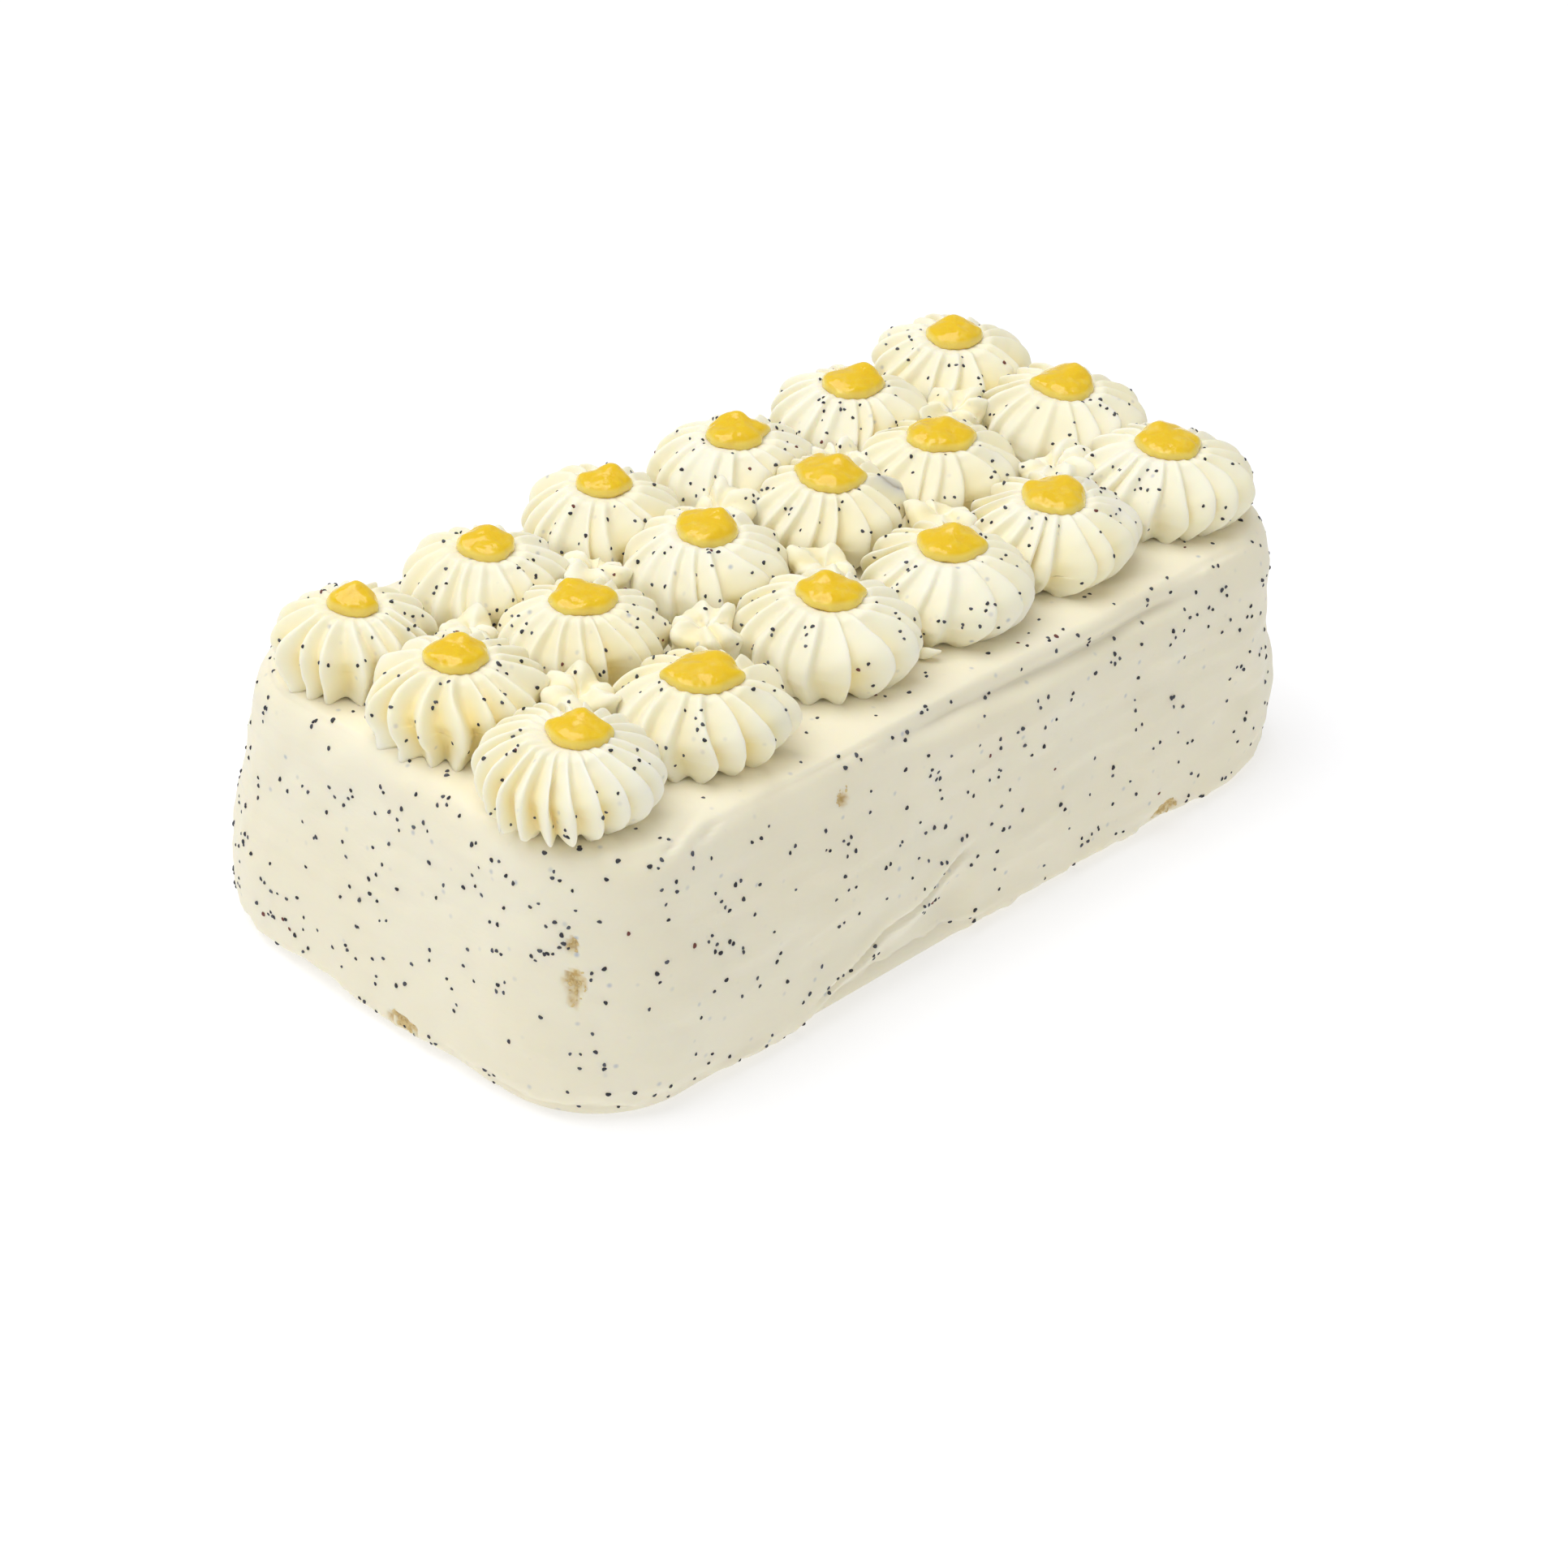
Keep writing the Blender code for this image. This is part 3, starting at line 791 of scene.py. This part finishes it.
def bare_share(points):
    """How bare the coat is at each place, from 0 to 1, in ragged patches."""
    ragged = unevenness(points, BARE_RAGGED, 11, 12)
    share = np.zeros(len(points))
    for at_x, at_y, at_z, wide, high in BARE_PATCHES:
        across = np.hypot(points[:, 0] - at_x, points[:, 1] - at_y) / wide
        off = np.hypot(across, (points[:, 2] - at_z) / high)
        share = np.maximum(share, smooth_step((0.8 + ragged - off) / BARE_EDGE + 1.0))
    return share


def outline(share, inset):
    """Places on the loaf's rounded outline, walked once round it."""
    half_x, half_y = LENGTH / 2 - CORNER_RADIUS, WIDTH / 2 - CORNER_RADIUS
    quarter = half_y + math.pi * CORNER_RADIUS / 2 + half_x
    walked = share % 1.0 * 4 * quarter
    turn = np.minimum(walked // quarter, 3).astype(int)
    left = walked - turn * quarter
    side_x = np.array((1, -1, -1, 1))[turn]
    side_y = np.array((1, 1, -1, -1))[turn]
    left = np.where(side_x * side_y < 0, quarter - left, left)
    angle = np.clip((left - half_y) / CORNER_RADIUS, 0.0, math.pi / 2)
    x = np.minimum(half_x, quarter - left) + (CORNER_RADIUS - inset) * np.cos(angle)
    y = np.minimum(half_y, left) + (CORNER_RADIUS - inset) * np.sin(angle)
    return side_x * x, side_y * y


def make_coated_loaf(material):
    """A ball drawn out to the loaf's outline at each height, then worked over with the blade."""
    loaf, turn, rise = new_ball(LOAF_COLUMNS, LOAF_ROWS, LOAF_SPLITS)
    way = np.clip((rise - UNDERSIDE) / (MIDDLE_OF_TOP - UNDERSIDE), 0.0, 1.0)
    height, inset = read_along(curve_through(WALL + TOP_BAND, 400), way)
    x, y = outline(turn / math.tau, inset)
    closing = np.clip(np.minimum(rise / UNDERSIDE, (1.0 - rise) / (1.0 - MIDDLE_OF_TOP)), 0.0, 1.0)
    write_points(loaf, np.column_stack((x * closing, y * closing, height)))
    points = read_points(loaf)
    normals = read_normals(loaf)
    bare = bare_share(points)
    relief = spatula_relief(points)
    relief -= bare * (BARE_DEPTH + BARE_UNEVEN[1] * lumps(points, BARE_UNEVEN[0], 13))
    settled = smooth_step(points[:, 2] / FOOT_CALM)
    calm = np.where(normals[:, 2] > 0.9, TOP_CALM, 1.0)
    moved = points + normals * (relief * settled * calm)[:, None]
    # The cream stays inside the CAD's box without going flat against it
    for axis, reach in ((0, LENGTH / 2), (1, WIDTH / 2)):
        past = smooth_excess((np.abs(moved[:, axis]) - reach) / BOX_SOFT)
        moved[:, axis] -= np.sign(moved[:, axis]) * BOX_SOFT * past
    moved[:, 2] = np.where(points[:, 2] < 0.3, 0.0, moved[:, 2])
    write_points(loaf, moved)
    write_attribute(loaf, "bare", bare)
    return dress(loaf, "coated_loaf", material, "buttercream_coat", "cake_body")


# The piping

def rosette_place(row, column):
    """Where a rosette stands on the top of the loaf."""
    off_x, off_y = PIPED[row][column][:2]
    return np.array(((column - 2.5) * PITCH + off_x, ROW_Y[row] + off_y))


def every_rosette():
    """Row and column of each rosette."""
    return [(row, column) for row in range(len(PIPED)) for column in range(len(PIPED[row]))]


def pressed(place, angle, others):
    """How far a rosette reaches in each direction before it presses on its neighbours."""
    limit = np.full(len(angle), 1000.0)
    for other in others:
        apart = other - place
        away = np.hypot(*apart)
        if away > PRESS_APART * REACH:
            continue
        facing = np.cos(angle - math.atan2(apart[1], apart[0]))
        here = (away - GAP) / 2 / np.maximum(facing, 0.01)
        limit = np.minimum(limit, np.where(facing > 0.01, here, 1000.0))
    return limit


def by_crest(draw, crests, along, spread):
    """One random amount per crest, flowing smoothly from each crest to the next."""
    amounts = draw.uniform(-spread, spread, crests)
    index = np.floor(along).astype(int)
    share = smooth_step(along - index)
    return amounts[index % crests] * (1.0 - share) + amounts[(index + 1) % crests] * share


def loaf_top(points, tree):
    """How far the loaf's top lies above or below its nominal height under each place."""
    off = np.zeros(len(points))
    down = Vector((0.0, 0.0, -1.0))
    for index, (x, y) in enumerate(points[:, :2] * MM):
        hit = tree.ray_cast(Vector((x, y, 0.2)), down)[0]
        off[index] = 0.0 if hit is None else hit.z / MM - TOP
    return off


def roughen(piece, points, sizes, *seeds):
    """Place a piece's vertices, then move them in and out by soft lumps."""
    write_points(piece, points)
    relief = unevenness(points, sizes, *seeds)
    write_points(piece, points + read_normals(piece) * relief[:, None])


def make_piped_rosette(row, column, material, loaf_tree):
    """A rosette pressed from a star tip: thin crests and wide scoops that bow over its bulge."""
    size, tall, crests, twist = PIPED[row][column][2:]
    draw = np.random.default_rng(ROSETTE_DRAW + 10 * row + column)
    place = rosette_place(row, column)
    others = [rosette_place(*spot) for spot in every_rosette() if spot != (row, column)]
    spacing = math.tau / crests
    ball, turn, rise = new_ball(crests * CREST_COLUMNS, ROSETTE_ROWS)
    knots = np.array(((TOE_SHARE[row][column], 0.0, TOE_SCOOP),) + ROSETTE_SIDE)
    side = curve_through(knots * (REACH * size, tall, size), 240)
    flow = np.gradient(side[:, :2], axis=0)
    flow /= np.linalg.norm(flow, axis=1, keepdims=True)
    way = np.interp(rise, (UNDER_SHARE, DIP_SHARE, 1.0), (0.0, DIP_WAY, 1.0))
    under = np.clip(rise / UNDER_SHARE, 0.0, 1.0)
    radius, height, depth = read_along(side, way)
    # The surface faces outward and upward by these shares
    away, outward = read_along(flow, way)
    upward = -away
    radius *= under
    height += UNDER_RISE * (1.0 - under)
    depth *= under
    # Crests lie at whole numbers of along, and scoops halfway between them
    along = turn / spacing
    sine = np.abs(np.sin(math.pi * along))

    def differ(most):
        """An amount that differs from crest to crest."""
        return by_crest(draw, crests, along, most)

    edge = CREST_EDGE * (1.0 + differ(EDGE_DIFFERS))
    scoop = (np.sqrt(sine ** 2 + edge ** 2) - edge) / (np.sqrt(1.0 + edge ** 2) - edge)
    scoop = (SCOOP_OWN * scoop + (1.0 - SCOOP_OWN) * sine ** 2) ** SCOOP_POWER
    depth *= 1.0 + differ(DEPTH_DIFFERS)
    uneven = CREST_UNEVEN if row or column else FIRST_UNEVEN
    if column:
        soft = smooth_step(1.25 * np.cos(turn - SOFT_TOWARDS) - 0.25)
        depth *= 1.0 - SOFT_SHARE * soft
        reach = REACH * size
        low = np.clip(1.0 - height / SOFT_FOOT_HEIGHT, 0.0, 1.0) * under
        radius += SOFT_FOOT * soft * low * (reach - radius)
        outer = np.clip((radius / reach - 0.45) / 0.55, 0.0, 1.0) * np.clip(height / 10.0, 0.0, 1.0)
        height -= SOFT_SLOPE * soft * outer
    # Each crest wanders on its way up and leans over the next scoop
    fade = np.clip(depth / LEAN_SCOOP, 0.0, 1.0)
    bow = differ(1.2 * uneven) * np.sin(math.pi * way)
    bow += differ(0.8 * uneven) * np.sin(2 * math.pi * way)
    bow += differ(uneven)
    lean = CREST_LEAN[row][column] * (1.0 + differ(LEAN_DIFFERS))
    lean *= 1.0 + LEAN_TURNS * np.sin(turn - LEAN_FROM)
    angle = turn + math.radians(twist) * height / RIM_HEIGHT
    angle += spacing * fade * (bow + lean * (1.0 - scoop) * np.sin(math.pi * way) ** 0.5)
    radius *= 1.0 + differ(REACH_DIFFERS) * fade
    radius *= 1.0 + OVAL * np.sin(2 * angle + row + 2.0 * column)
    radius -= depth * scoop * outward
    height -= depth * scoop * np.where(upward > 0.0, upward, 0.4 * upward)
    # Toes: crests end in points that spread, and scoops end in arches
    toe = np.exp(-way / TOE_WAY) * under
    radius += TOE_SPREAD * toe * (1.0 - scoop)
    height += TOE_ARCH * (1.0 + differ(ARCH_DIFFERS)) * toe * scoop
    height = np.maximum(height, 0.0)
    limit = pressed(place, angle, others)
    radius = limit - PRESS_SOFT * smooth_excess((limit - radius) / PRESS_SOFT)
    radius = np.maximum(radius, 0.0)
    points = np.column_stack((
        place[0] + radius * np.cos(angle), place[1] + radius * np.sin(angle), TOP + height,
    ))
    low = height < TOE_FOLLOW
    off = np.zeros(len(points))
    off[low] = loaf_top(points[low], loaf_tree)
    points[:, 2] += (off - TOE_SUNK) * np.clip(1.0 - height / TOE_FOLLOW, 0.0, 1.0)
    roughen(ball, points, PIPED_UNEVEN, 20 + row, 30 + column, 40)
    # Painted shade: the scoops get a yellow shade, fuller where they are deeper
    write_attribute(ball, "fold", np.clip(scoop * depth / SCOOP_FULL_SHADE, 0.0, 1.0) ** 2)
    name = f"piped_rosette_{row + 1}_{column + 1}"
    return dress(ball, name, material, "piped_buttercream", f"rosette_{row + 1}_{column + 1}")


def make_curd_drop(row, column, material):
    """A spoonful of curd in a rosette's dip, with a ragged outline and a pulled peak."""
    tall = PIPED[row][column][3]
    draw = np.random.default_rng(CURD_DRAW + 10 * row + column)
    place = rosette_place(row, column)
    ball, turn, rise = new_ball(CURD_COLUMNS, CURD_ROWS)
    under = np.clip(rise / CURD_UNDER, 0.0, 1.0)
    way = np.clip((rise - CURD_UNDER) / (1.0 - CURD_UNDER), 0.0, 1.0)
    share, height = read_along(curve_through(CURD_SIDE, 200), way)
    share *= under
    height -= 0.6 * (1.0 - under)
    half = CURD_WIDTH[row][column] / 2
    edge = 0.96 + 0.05 * np.cos(2 * turn - draw.uniform(0.0, math.tau))
    for towards in CORNERS_TOWARDS:
        off = np.angle(np.exp(1j * (turn - towards - draw.uniform(-0.5, 0.5))))
        edge += draw.uniform(*CORNER_OUT) * np.exp(-(off / CORNER_WIDE) ** 2)
    ring = np.column_stack((8 * np.cos(turn), 8 * np.sin(turn), np.zeros(len(turn))))
    edge += 0.06 * lumps(ring, 3.6, 50 + 6 * row + column)
    radius = half * share * edge
    rightward = radius * np.cos(turn)
    backward = radius * np.sin(turn) * CURD_DEEP[row][column]
    # The peak stands where the spoon or tip left the drop, near its back edge
    aside = half * draw.uniform(*PEAK_ASIDE)
    bearing = math.pi / 2 + draw.uniform(-0.8, 0.6)
    off = np.hypot(rightward - aside * math.cos(bearing), backward - aside * math.sin(bearing))
    top = smooth_step((height + 0.4) / 1.6)
    height = height + top * draw.uniform(*PEAK_RISE) * np.exp(-(off / PEAK_WIDE) ** 2)
    rightward += CURD_ASIDE[row][column]
    backward += CURD_BACK
    points = np.column_stack((
        place[0] + rightward * SEEN_RIGHT[0] + backward * SEEN_BACK[0],
        place[1] + rightward * SEEN_RIGHT[1] + backward * SEEN_BACK[1],
        TOP + DIP_HEIGHT * tall + CURD_LIFT + height,
    ))
    roughen(ball, points, CURD_UNEVEN, 60 + column, 70 + row)
    write_attribute(ball, "thin", THIN_MOST * smooth_step((share - THIN_FROM) / 0.14))
    name = f"curd_drop_{row + 1}_{column + 1}"
    return dress(ball, name, material, "lemon_curd", f"lemon_curd_{row + 1}_{column + 1}")


def make_small_star(row, column, material):
    """A short press of the star tip in the gap between four rosettes, its lobes pushed about."""
    draw = np.random.default_rng(STAR_DRAW + 10 * row + column)
    corners = [(row + i, column + j) for i in (0, 1) for j in (0, 1)]
    centre = sum(rosette_place(*spot) for spot in corners) / 4
    lobes = int(draw.integers(5, 8))
    spacing = math.tau / lobes
    ball, turn, rise = new_ball(lobes * STAR_COLUMNS, STAR_ROWS)
    way = np.clip((rise - STAR_UNDER) / (1.0 - STAR_UNDER), 0.0, 1.0)
    share, height = read_along(curve_through(STAR_SIDE, 200), way)
    share *= np.clip(rise / STAR_UNDER, 0.0, 1.0)
    along = turn / spacing
    sine = np.abs(np.sin(math.pi * along))
    scoop = (np.sqrt(sine ** 2 + 0.1) - 0.316) / 0.733
    lobe = by_crest(draw, lobes, along, 1.0)
    radius = STAR_REACH * share * (1.0 + LOBE_REACH * lobe)
    radius *= 1.0 - STAR_SCOOP * scoop * (1.0 - 0.6 * way)
    height += np.sin(math.pi * way) * (LOBE_RISE * lobe - STAR_DIP * scoop)
    angle = turn + 0.5 * column + 0.3 * row + spacing * by_crest(draw, lobes, along, LOBE_ASIDE)
    angle += STAR_TWIST * np.sin(math.pi * way) * draw.choice((-1.0, 1.0))
    points = np.column_stack((
        centre[0] + radius * np.cos(angle), centre[1] + radius * np.sin(angle),
        TOP + np.maximum(height, -0.4),
    ))
    roughen(ball, points, STAR_UNEVEN, 80 + column, 90 + row)
    # Painted shade: a light yellow shade in the star's scoops
    write_attribute(ball, "fold", STAR_SCOOP_SHADE * scoop ** 2)
    name = f"small_star_{row + 1}_{column + 1}"
    return dress(ball, name, material, "piped_buttercream", f"piped_star_{row + 1}_{column + 1}")


def make_stray_curl(material):
    """A little tail of cream that broke off the tip: a leaf shape with a ridge and a point."""
    ball = new_ball(40, 24)[0]
    points = read_points(ball)
    along, across, up = points.T
    ridge = 1.0 - 0.35 * np.abs(across)
    taper = 1.0 - 0.55 * smooth_step(along * 0.5 + 0.5)
    bend = 0.6 * along ** 2
    out = math.radians(CURL_BEARING)
    x = CURL_LONG * along
    y = CURL_WIDE * across * taper + bend
    z = CURL_WIDE * up * taper * ridge + 0.7 * along
    points = np.column_stack((
        CURL_AT[0] + x * math.cos(out) - y * math.sin(out),
        CURL_AT[1] + x * math.sin(out) + y * math.cos(out),
        TOP + CURL_HEIGHT + z,
    ))
    points += 0.12 * np.column_stack([lumps(points, 1.7, 97 + k) for k in range(3)])
    points[:, 2] = np.maximum(points[:, 2], TOP - 0.3)
    write_points(ball, points)
    return dress(ball, "stray_curl", material, "piped_buttercream", "cream_curl")


# Seeds and crumbs

def scatter(piece, count, draw, allowed):
    """Random places on a piece, by area, with their outward directions."""
    mesh = piece.data
    mesh.calc_loop_triangles()
    corners = np.empty(3 * len(mesh.loop_triangles), int)
    mesh.loop_triangles.foreach_get("vertices", corners)
    corners = read_points(piece)[corners].reshape(-1, 3, 3)
    corners = corners[np.lexsort(corners.mean(axis=1).T)]
    cross = np.cross(corners[:, 1] - corners[:, 0], corners[:, 2] - corners[:, 0])
    size = np.linalg.norm(cross, axis=1)
    middle = corners.mean(axis=1)
    normal = cross / np.maximum(size, 1e-9)[:, None]
    weight = size * allowed(middle, normal)
    chosen = draw.choice(len(weight), count, p=weight / weight.sum())
    u, v = draw.uniform(0.0, 1.0, (2, count))
    fold = u + v > 1.0
    u, v = np.where(fold, 1.0 - u, u), np.where(fold, 1.0 - v, v)
    a, b, c = corners[chosen].transpose(1, 0, 2)
    return a + (b - a) * u[:, None] + (c - a) * v[:, None], normal[chosen]


def paired(spots, normals, draw):
    """Draw some places close to the one before, as seeds that cling together are."""
    beside = np.nonzero(draw.uniform(0.0, 1.0, len(spots)) < SEED_PAIRED)[0]
    beside = beside[beside > 0]
    sideways = draw.normal(0.0, 1.0, (len(beside), 3))
    inward = (sideways * normals[beside - 1]).sum(axis=1, keepdims=True)
    sideways -= inward * normals[beside - 1]
    sideways /= np.linalg.norm(sideways, axis=1, keepdims=True)
    spots[beside] = spots[beside - 1] + sideways * draw.uniform(*SEED_CLOSE, (len(beside), 1))
    normals[beside] = normals[beside - 1]
    return spots, normals


def settle(spots, normals, tree):
    """Bring each place back on to the surface beside it."""
    placed, facing = [], []
    for spot, normal in zip(spots, normals):
        near, outward, _, away = tree.find_nearest(Vector(spot * MM))
        if near is not None and away < 3.0 * MM and outward.dot(Vector(normal)) > 0.2:
            placed.append(np.array(near) / MM)
            facing.append(np.array(outward))
    return placed, facing


def grain_shape(kind, bends):
    """The vertices and faces of one grain, shaped once and then repeated."""
    deselect()
    bpy.ops.mesh.primitive_ico_sphere_add(subdivisions=2, radius=MM / 2)
    ball = bpy.context.object
    points = read_points(ball) * kind
    points[:, 1] += bends * (points[:, 0] ** 2 - 0.12)
    faces = np.array([tuple(face.vertices) for face in ball.data.polygons])
    bpy.data.objects.remove(ball)
    return points, faces


def join_grains(name, shape, faces, places, material, slot, attributes):
    """Repeat one grain at every place as a single mesh."""
    points = np.concatenate([shape @ turn.T * size + spot for spot, turn, size in places])
    all_faces = np.concatenate([faces + index * len(shape) for index in range(len(places))])
    mesh = bpy.data.meshes.new(name)
    mesh.from_pydata(points.tolist(), [], all_faces.tolist())
    piece = bpy.data.objects.new(name, mesh)
    bpy.context.scene.collection.objects.link(piece)
    write_points(piece, points)
    for attribute, values in attributes.items():
        write_attribute(piece, attribute, np.repeat(values, len(shape)))
    return dress(piece, name, material, slot)


def lie(normal, spin):
    """The turn that lays a grain flat against a surface, spun about its own upright."""
    return np.array((Vector(normal).to_track_quat("Z", "Y") @ Matrix.Rotation(
        spin, 3, "Z").to_quaternion()).to_matrix())


def make_poppy_seeds(loaf, rosettes, stars, trees, material):
    """Poppy seeds all over the cream, some proud and some almost drowned in it."""
    draw = np.random.default_rng(SEED_DRAW)
    centres = np.array([rosette_place(*spot) for spot in every_rosette()])

    def off_centre(middle):
        """How far each place is from the middle of the nearest rosette."""
        return np.hypot(*(middle[:, None, :2] - centres[None]).transpose(2, 0, 1)).min(axis=1)

    def on_wall(middle, normal):
        wall = (np.abs(normal[:, 2]) < LEVEL) & (middle[:, 2] > 1.5)
        return wall * (1.0 + MORE_AT_END * (normal[:, 0] < -0.6))

    def on_top(middle, normal):
        return (normal[:, 2] >= LEVEL) & (off_centre(middle) > CLEAR_OF_PIPING)

    def on_piping(middle, normal):
        under_curd = (off_centre(middle) < CLEAR_OF_CURD) & (middle[:, 2] > TOP + 12.0)
        return (normal[:, 2] > -0.4) & (middle[:, 2] > TOP + PIPING_FROM) & ~under_curd

    spots, facing = [], []
    for piece, count, allowed in (
        (loaf, COAT_SEEDS, on_wall), (loaf, TOP_SEEDS, on_top),
        *((rosette, ROSETTE_SEEDS, on_piping) for rosette in rosettes),
        *((star, STAR_SEEDS, on_piping) for star in stars),
    ):
        placed, normals = settle(*paired(*scatter(piece, count, draw, allowed), draw),
                                 trees[piece.name])
        spots += placed
        facing += normals
    rims = np.array([(*rosette_place(*spot), TOP + 18.0 * PIPED[spot[0]][spot[1]][3])
                     for spot in every_rosette()])
    places, tones, ripe = [], [], []
    for spot, normal in zip(spots, facing):
        off = spot - rims
        in_curd = (np.hypot(off[:, 0], off[:, 1]) < CLEAR_OF_CURD) & (off[:, 2] > -3.0)
        if in_curd.any():
            continue
        sunk = draw.uniform(*SEED_SUNK)
        size = draw.uniform(*SEED_SIZE) * (PIPED_SEED_SIZE if spot[2] > TOP + PIPING_FROM else 1.0)
        places.append((spot - normal * sunk * size, lie(normal, draw.uniform(0.0, math.tau)), size))
        tones.append(np.clip(draw.normal(0.12, 0.18) + 1.6 * max(sunk - 0.15, 0.0), 0.0, 1.0))
        ripe.append(float(draw.uniform() < SEED_RED_SHARE))
    shape, faces = grain_shape((SEED_LONG, SEED_SHORT, SEED_THICK), SEED_BEND)
    return join_grains("poppy_seeds", shape, faces, places, material, "poppy_seed",
                       {"tone": tones, "ripe": ripe})


def make_sponge_crumbs(tree, material):
    """Crumbs of sponge that stand in the bare patches."""
    draw = np.random.default_rng(CRUMB_DRAW)
    places = []
    for at_x, at_y, at_z, wide, high in BARE_PATCHES:
        for _ in range(int(CRUMBS_EACH * wide * high)):
            aim = np.array((at_x, at_y, at_z)) + draw.normal(0.0, 0.4, 3) * (wide, wide, high)
            near, outward = tree.find_nearest(Vector(aim * MM))[:2]
            size = draw.uniform(*CRUMB_SIZE) * (LOW_CRUMB_SIZE if at_z < 8.0 else 1.0)
            spot = np.array(near) / MM - np.array(outward) * CRUMB_SUNK * size
            places.append((spot, lie(outward, draw.uniform(0.0, math.tau)), size))
    shape, faces = grain_shape((1.0, 0.8, 0.75), 0.0)
    shape += 0.16 * np.column_stack([lumps(shape, 0.35, 110 + k) for k in range(3)])
    return join_grains("sponge_crumbs", shape, faces, places, material, "sponge_crumb", {})


# The studio

def set_camera():
    """Look at the cake from where the photograph was taken."""
    azimuth, elevation = math.radians(CAMERA_AZIMUTH), math.radians(CAMERA_ELEVATION)
    roll = math.radians(CAMERA_ROLL)
    back = Vector((math.sin(azimuth) * math.cos(elevation),
                   -math.cos(azimuth) * math.cos(elevation), math.sin(elevation)))
    level = (-back).cross(Vector((0.0, 0.0, 1.0))).normalized()
    above = level.cross(-back)
    right = level * math.cos(roll) + above * math.sin(roll)
    up = above * math.cos(roll) - level * math.sin(roll)
    place = back * CAMERA_AWAY + level * CAMERA_SHIFT[0] + above * CAMERA_SHIFT[1]
    place.z += CAMERA_AIM
    camera = bpy.data.cameras.new("Camera")
    camera.lens = CAMERA_LENS
    camera.sensor_width = 36.0
    camera.clip_start = 0.05
    camera.clip_end = 20.0
    seat = bpy.data.objects.new("Camera", camera)
    turned = Matrix((right, up, back)).transposed().to_4x4()
    seat.matrix_world = Matrix.Translation(place * MM) @ turned
    bpy.context.scene.collection.objects.link(seat)
    bpy.context.scene.camera = seat


def lay_floor():
    """A wide sheet of matt white paper."""
    deselect()
    bpy.ops.mesh.primitive_plane_add(size=PAPER_SIZE, location=(0.0, 0.0, 0.0))
    floor = bpy.context.object
    floor.name = "paper_floor"
    floor.data.materials.append(new_material("Matt white paper", {
        "Base Color": linear(PAPER_GREY), "Roughness": 0.9,
        "Emission Color": linear("#FFFFFF"), "Emission Strength": PAPER_GLOW,
    })[0])


def hang_lamp():
    """A soft square lamp that faces the cake."""
    light = bpy.data.lights.new("Key", "AREA")
    light.shape = "SQUARE"
    light.size = KEY_SIZE
    light.energy = KEY_POWER
    lamp = bpy.data.objects.new("Key", light)
    direction = Vector(KEY_TOWARDS).normalized()
    lamp.location = direction * KEY_AWAY + Vector((0.0, 0.0, KEY_AIM))
    lamp.rotation_euler = direction.to_track_quat("Z", "Y").to_euler()
    bpy.context.scene.collection.objects.link(lamp)


def light_studio():
    """Even white light all round, with one broad lamp high over the cake."""
    world = bpy.data.worlds.new("White room")
    world.use_nodes = True
    sky = world.node_tree.nodes["Background"]
    sky.inputs["Color"].default_value = linear("#FFFFFF")
    sky.inputs["Strength"].default_value = ROOM_LIGHT
    bpy.context.scene.world = world
    hang_lamp()
    bpy.context.scene.view_settings.view_transform = "Standard"
    bpy.context.scene.view_settings.look = "None"


def main():
    """Make every piece and set the studio."""
    coat = poppy_buttercream("Spread poppy seed buttercream", COAT_PALE, COAT_DEEP, True)
    piped = poppy_buttercream("Piped poppy seed buttercream", PIPED_PALE, PIPED_TONE_AND_SHADE, False)
    curd = cooked_curd()
    loaf = make_coated_loaf(coat)
    trees = {loaf.name: surface_tree(loaf)}
    rosettes = [make_piped_rosette(*spot, piped, trees[loaf.name]) for spot in every_rosette()]
    stars = [make_small_star(row, column, piped)
             for row in range(len(PIPED) - 1) for column in range(len(PIPED[row]) - 1)]
    for spot in every_rosette():
        make_curd_drop(*spot, curd)
    make_stray_curl(piped)
    for piece in rosettes + stars:
        trees[piece.name] = surface_tree(piece)
    make_poppy_seeds(loaf, rosettes, stars, trees, dry_seed())
    make_sponge_crumbs(trees[loaf.name], torn_sponge())
    deselect()
    set_camera()
    lay_floor()
    light_studio()


main()
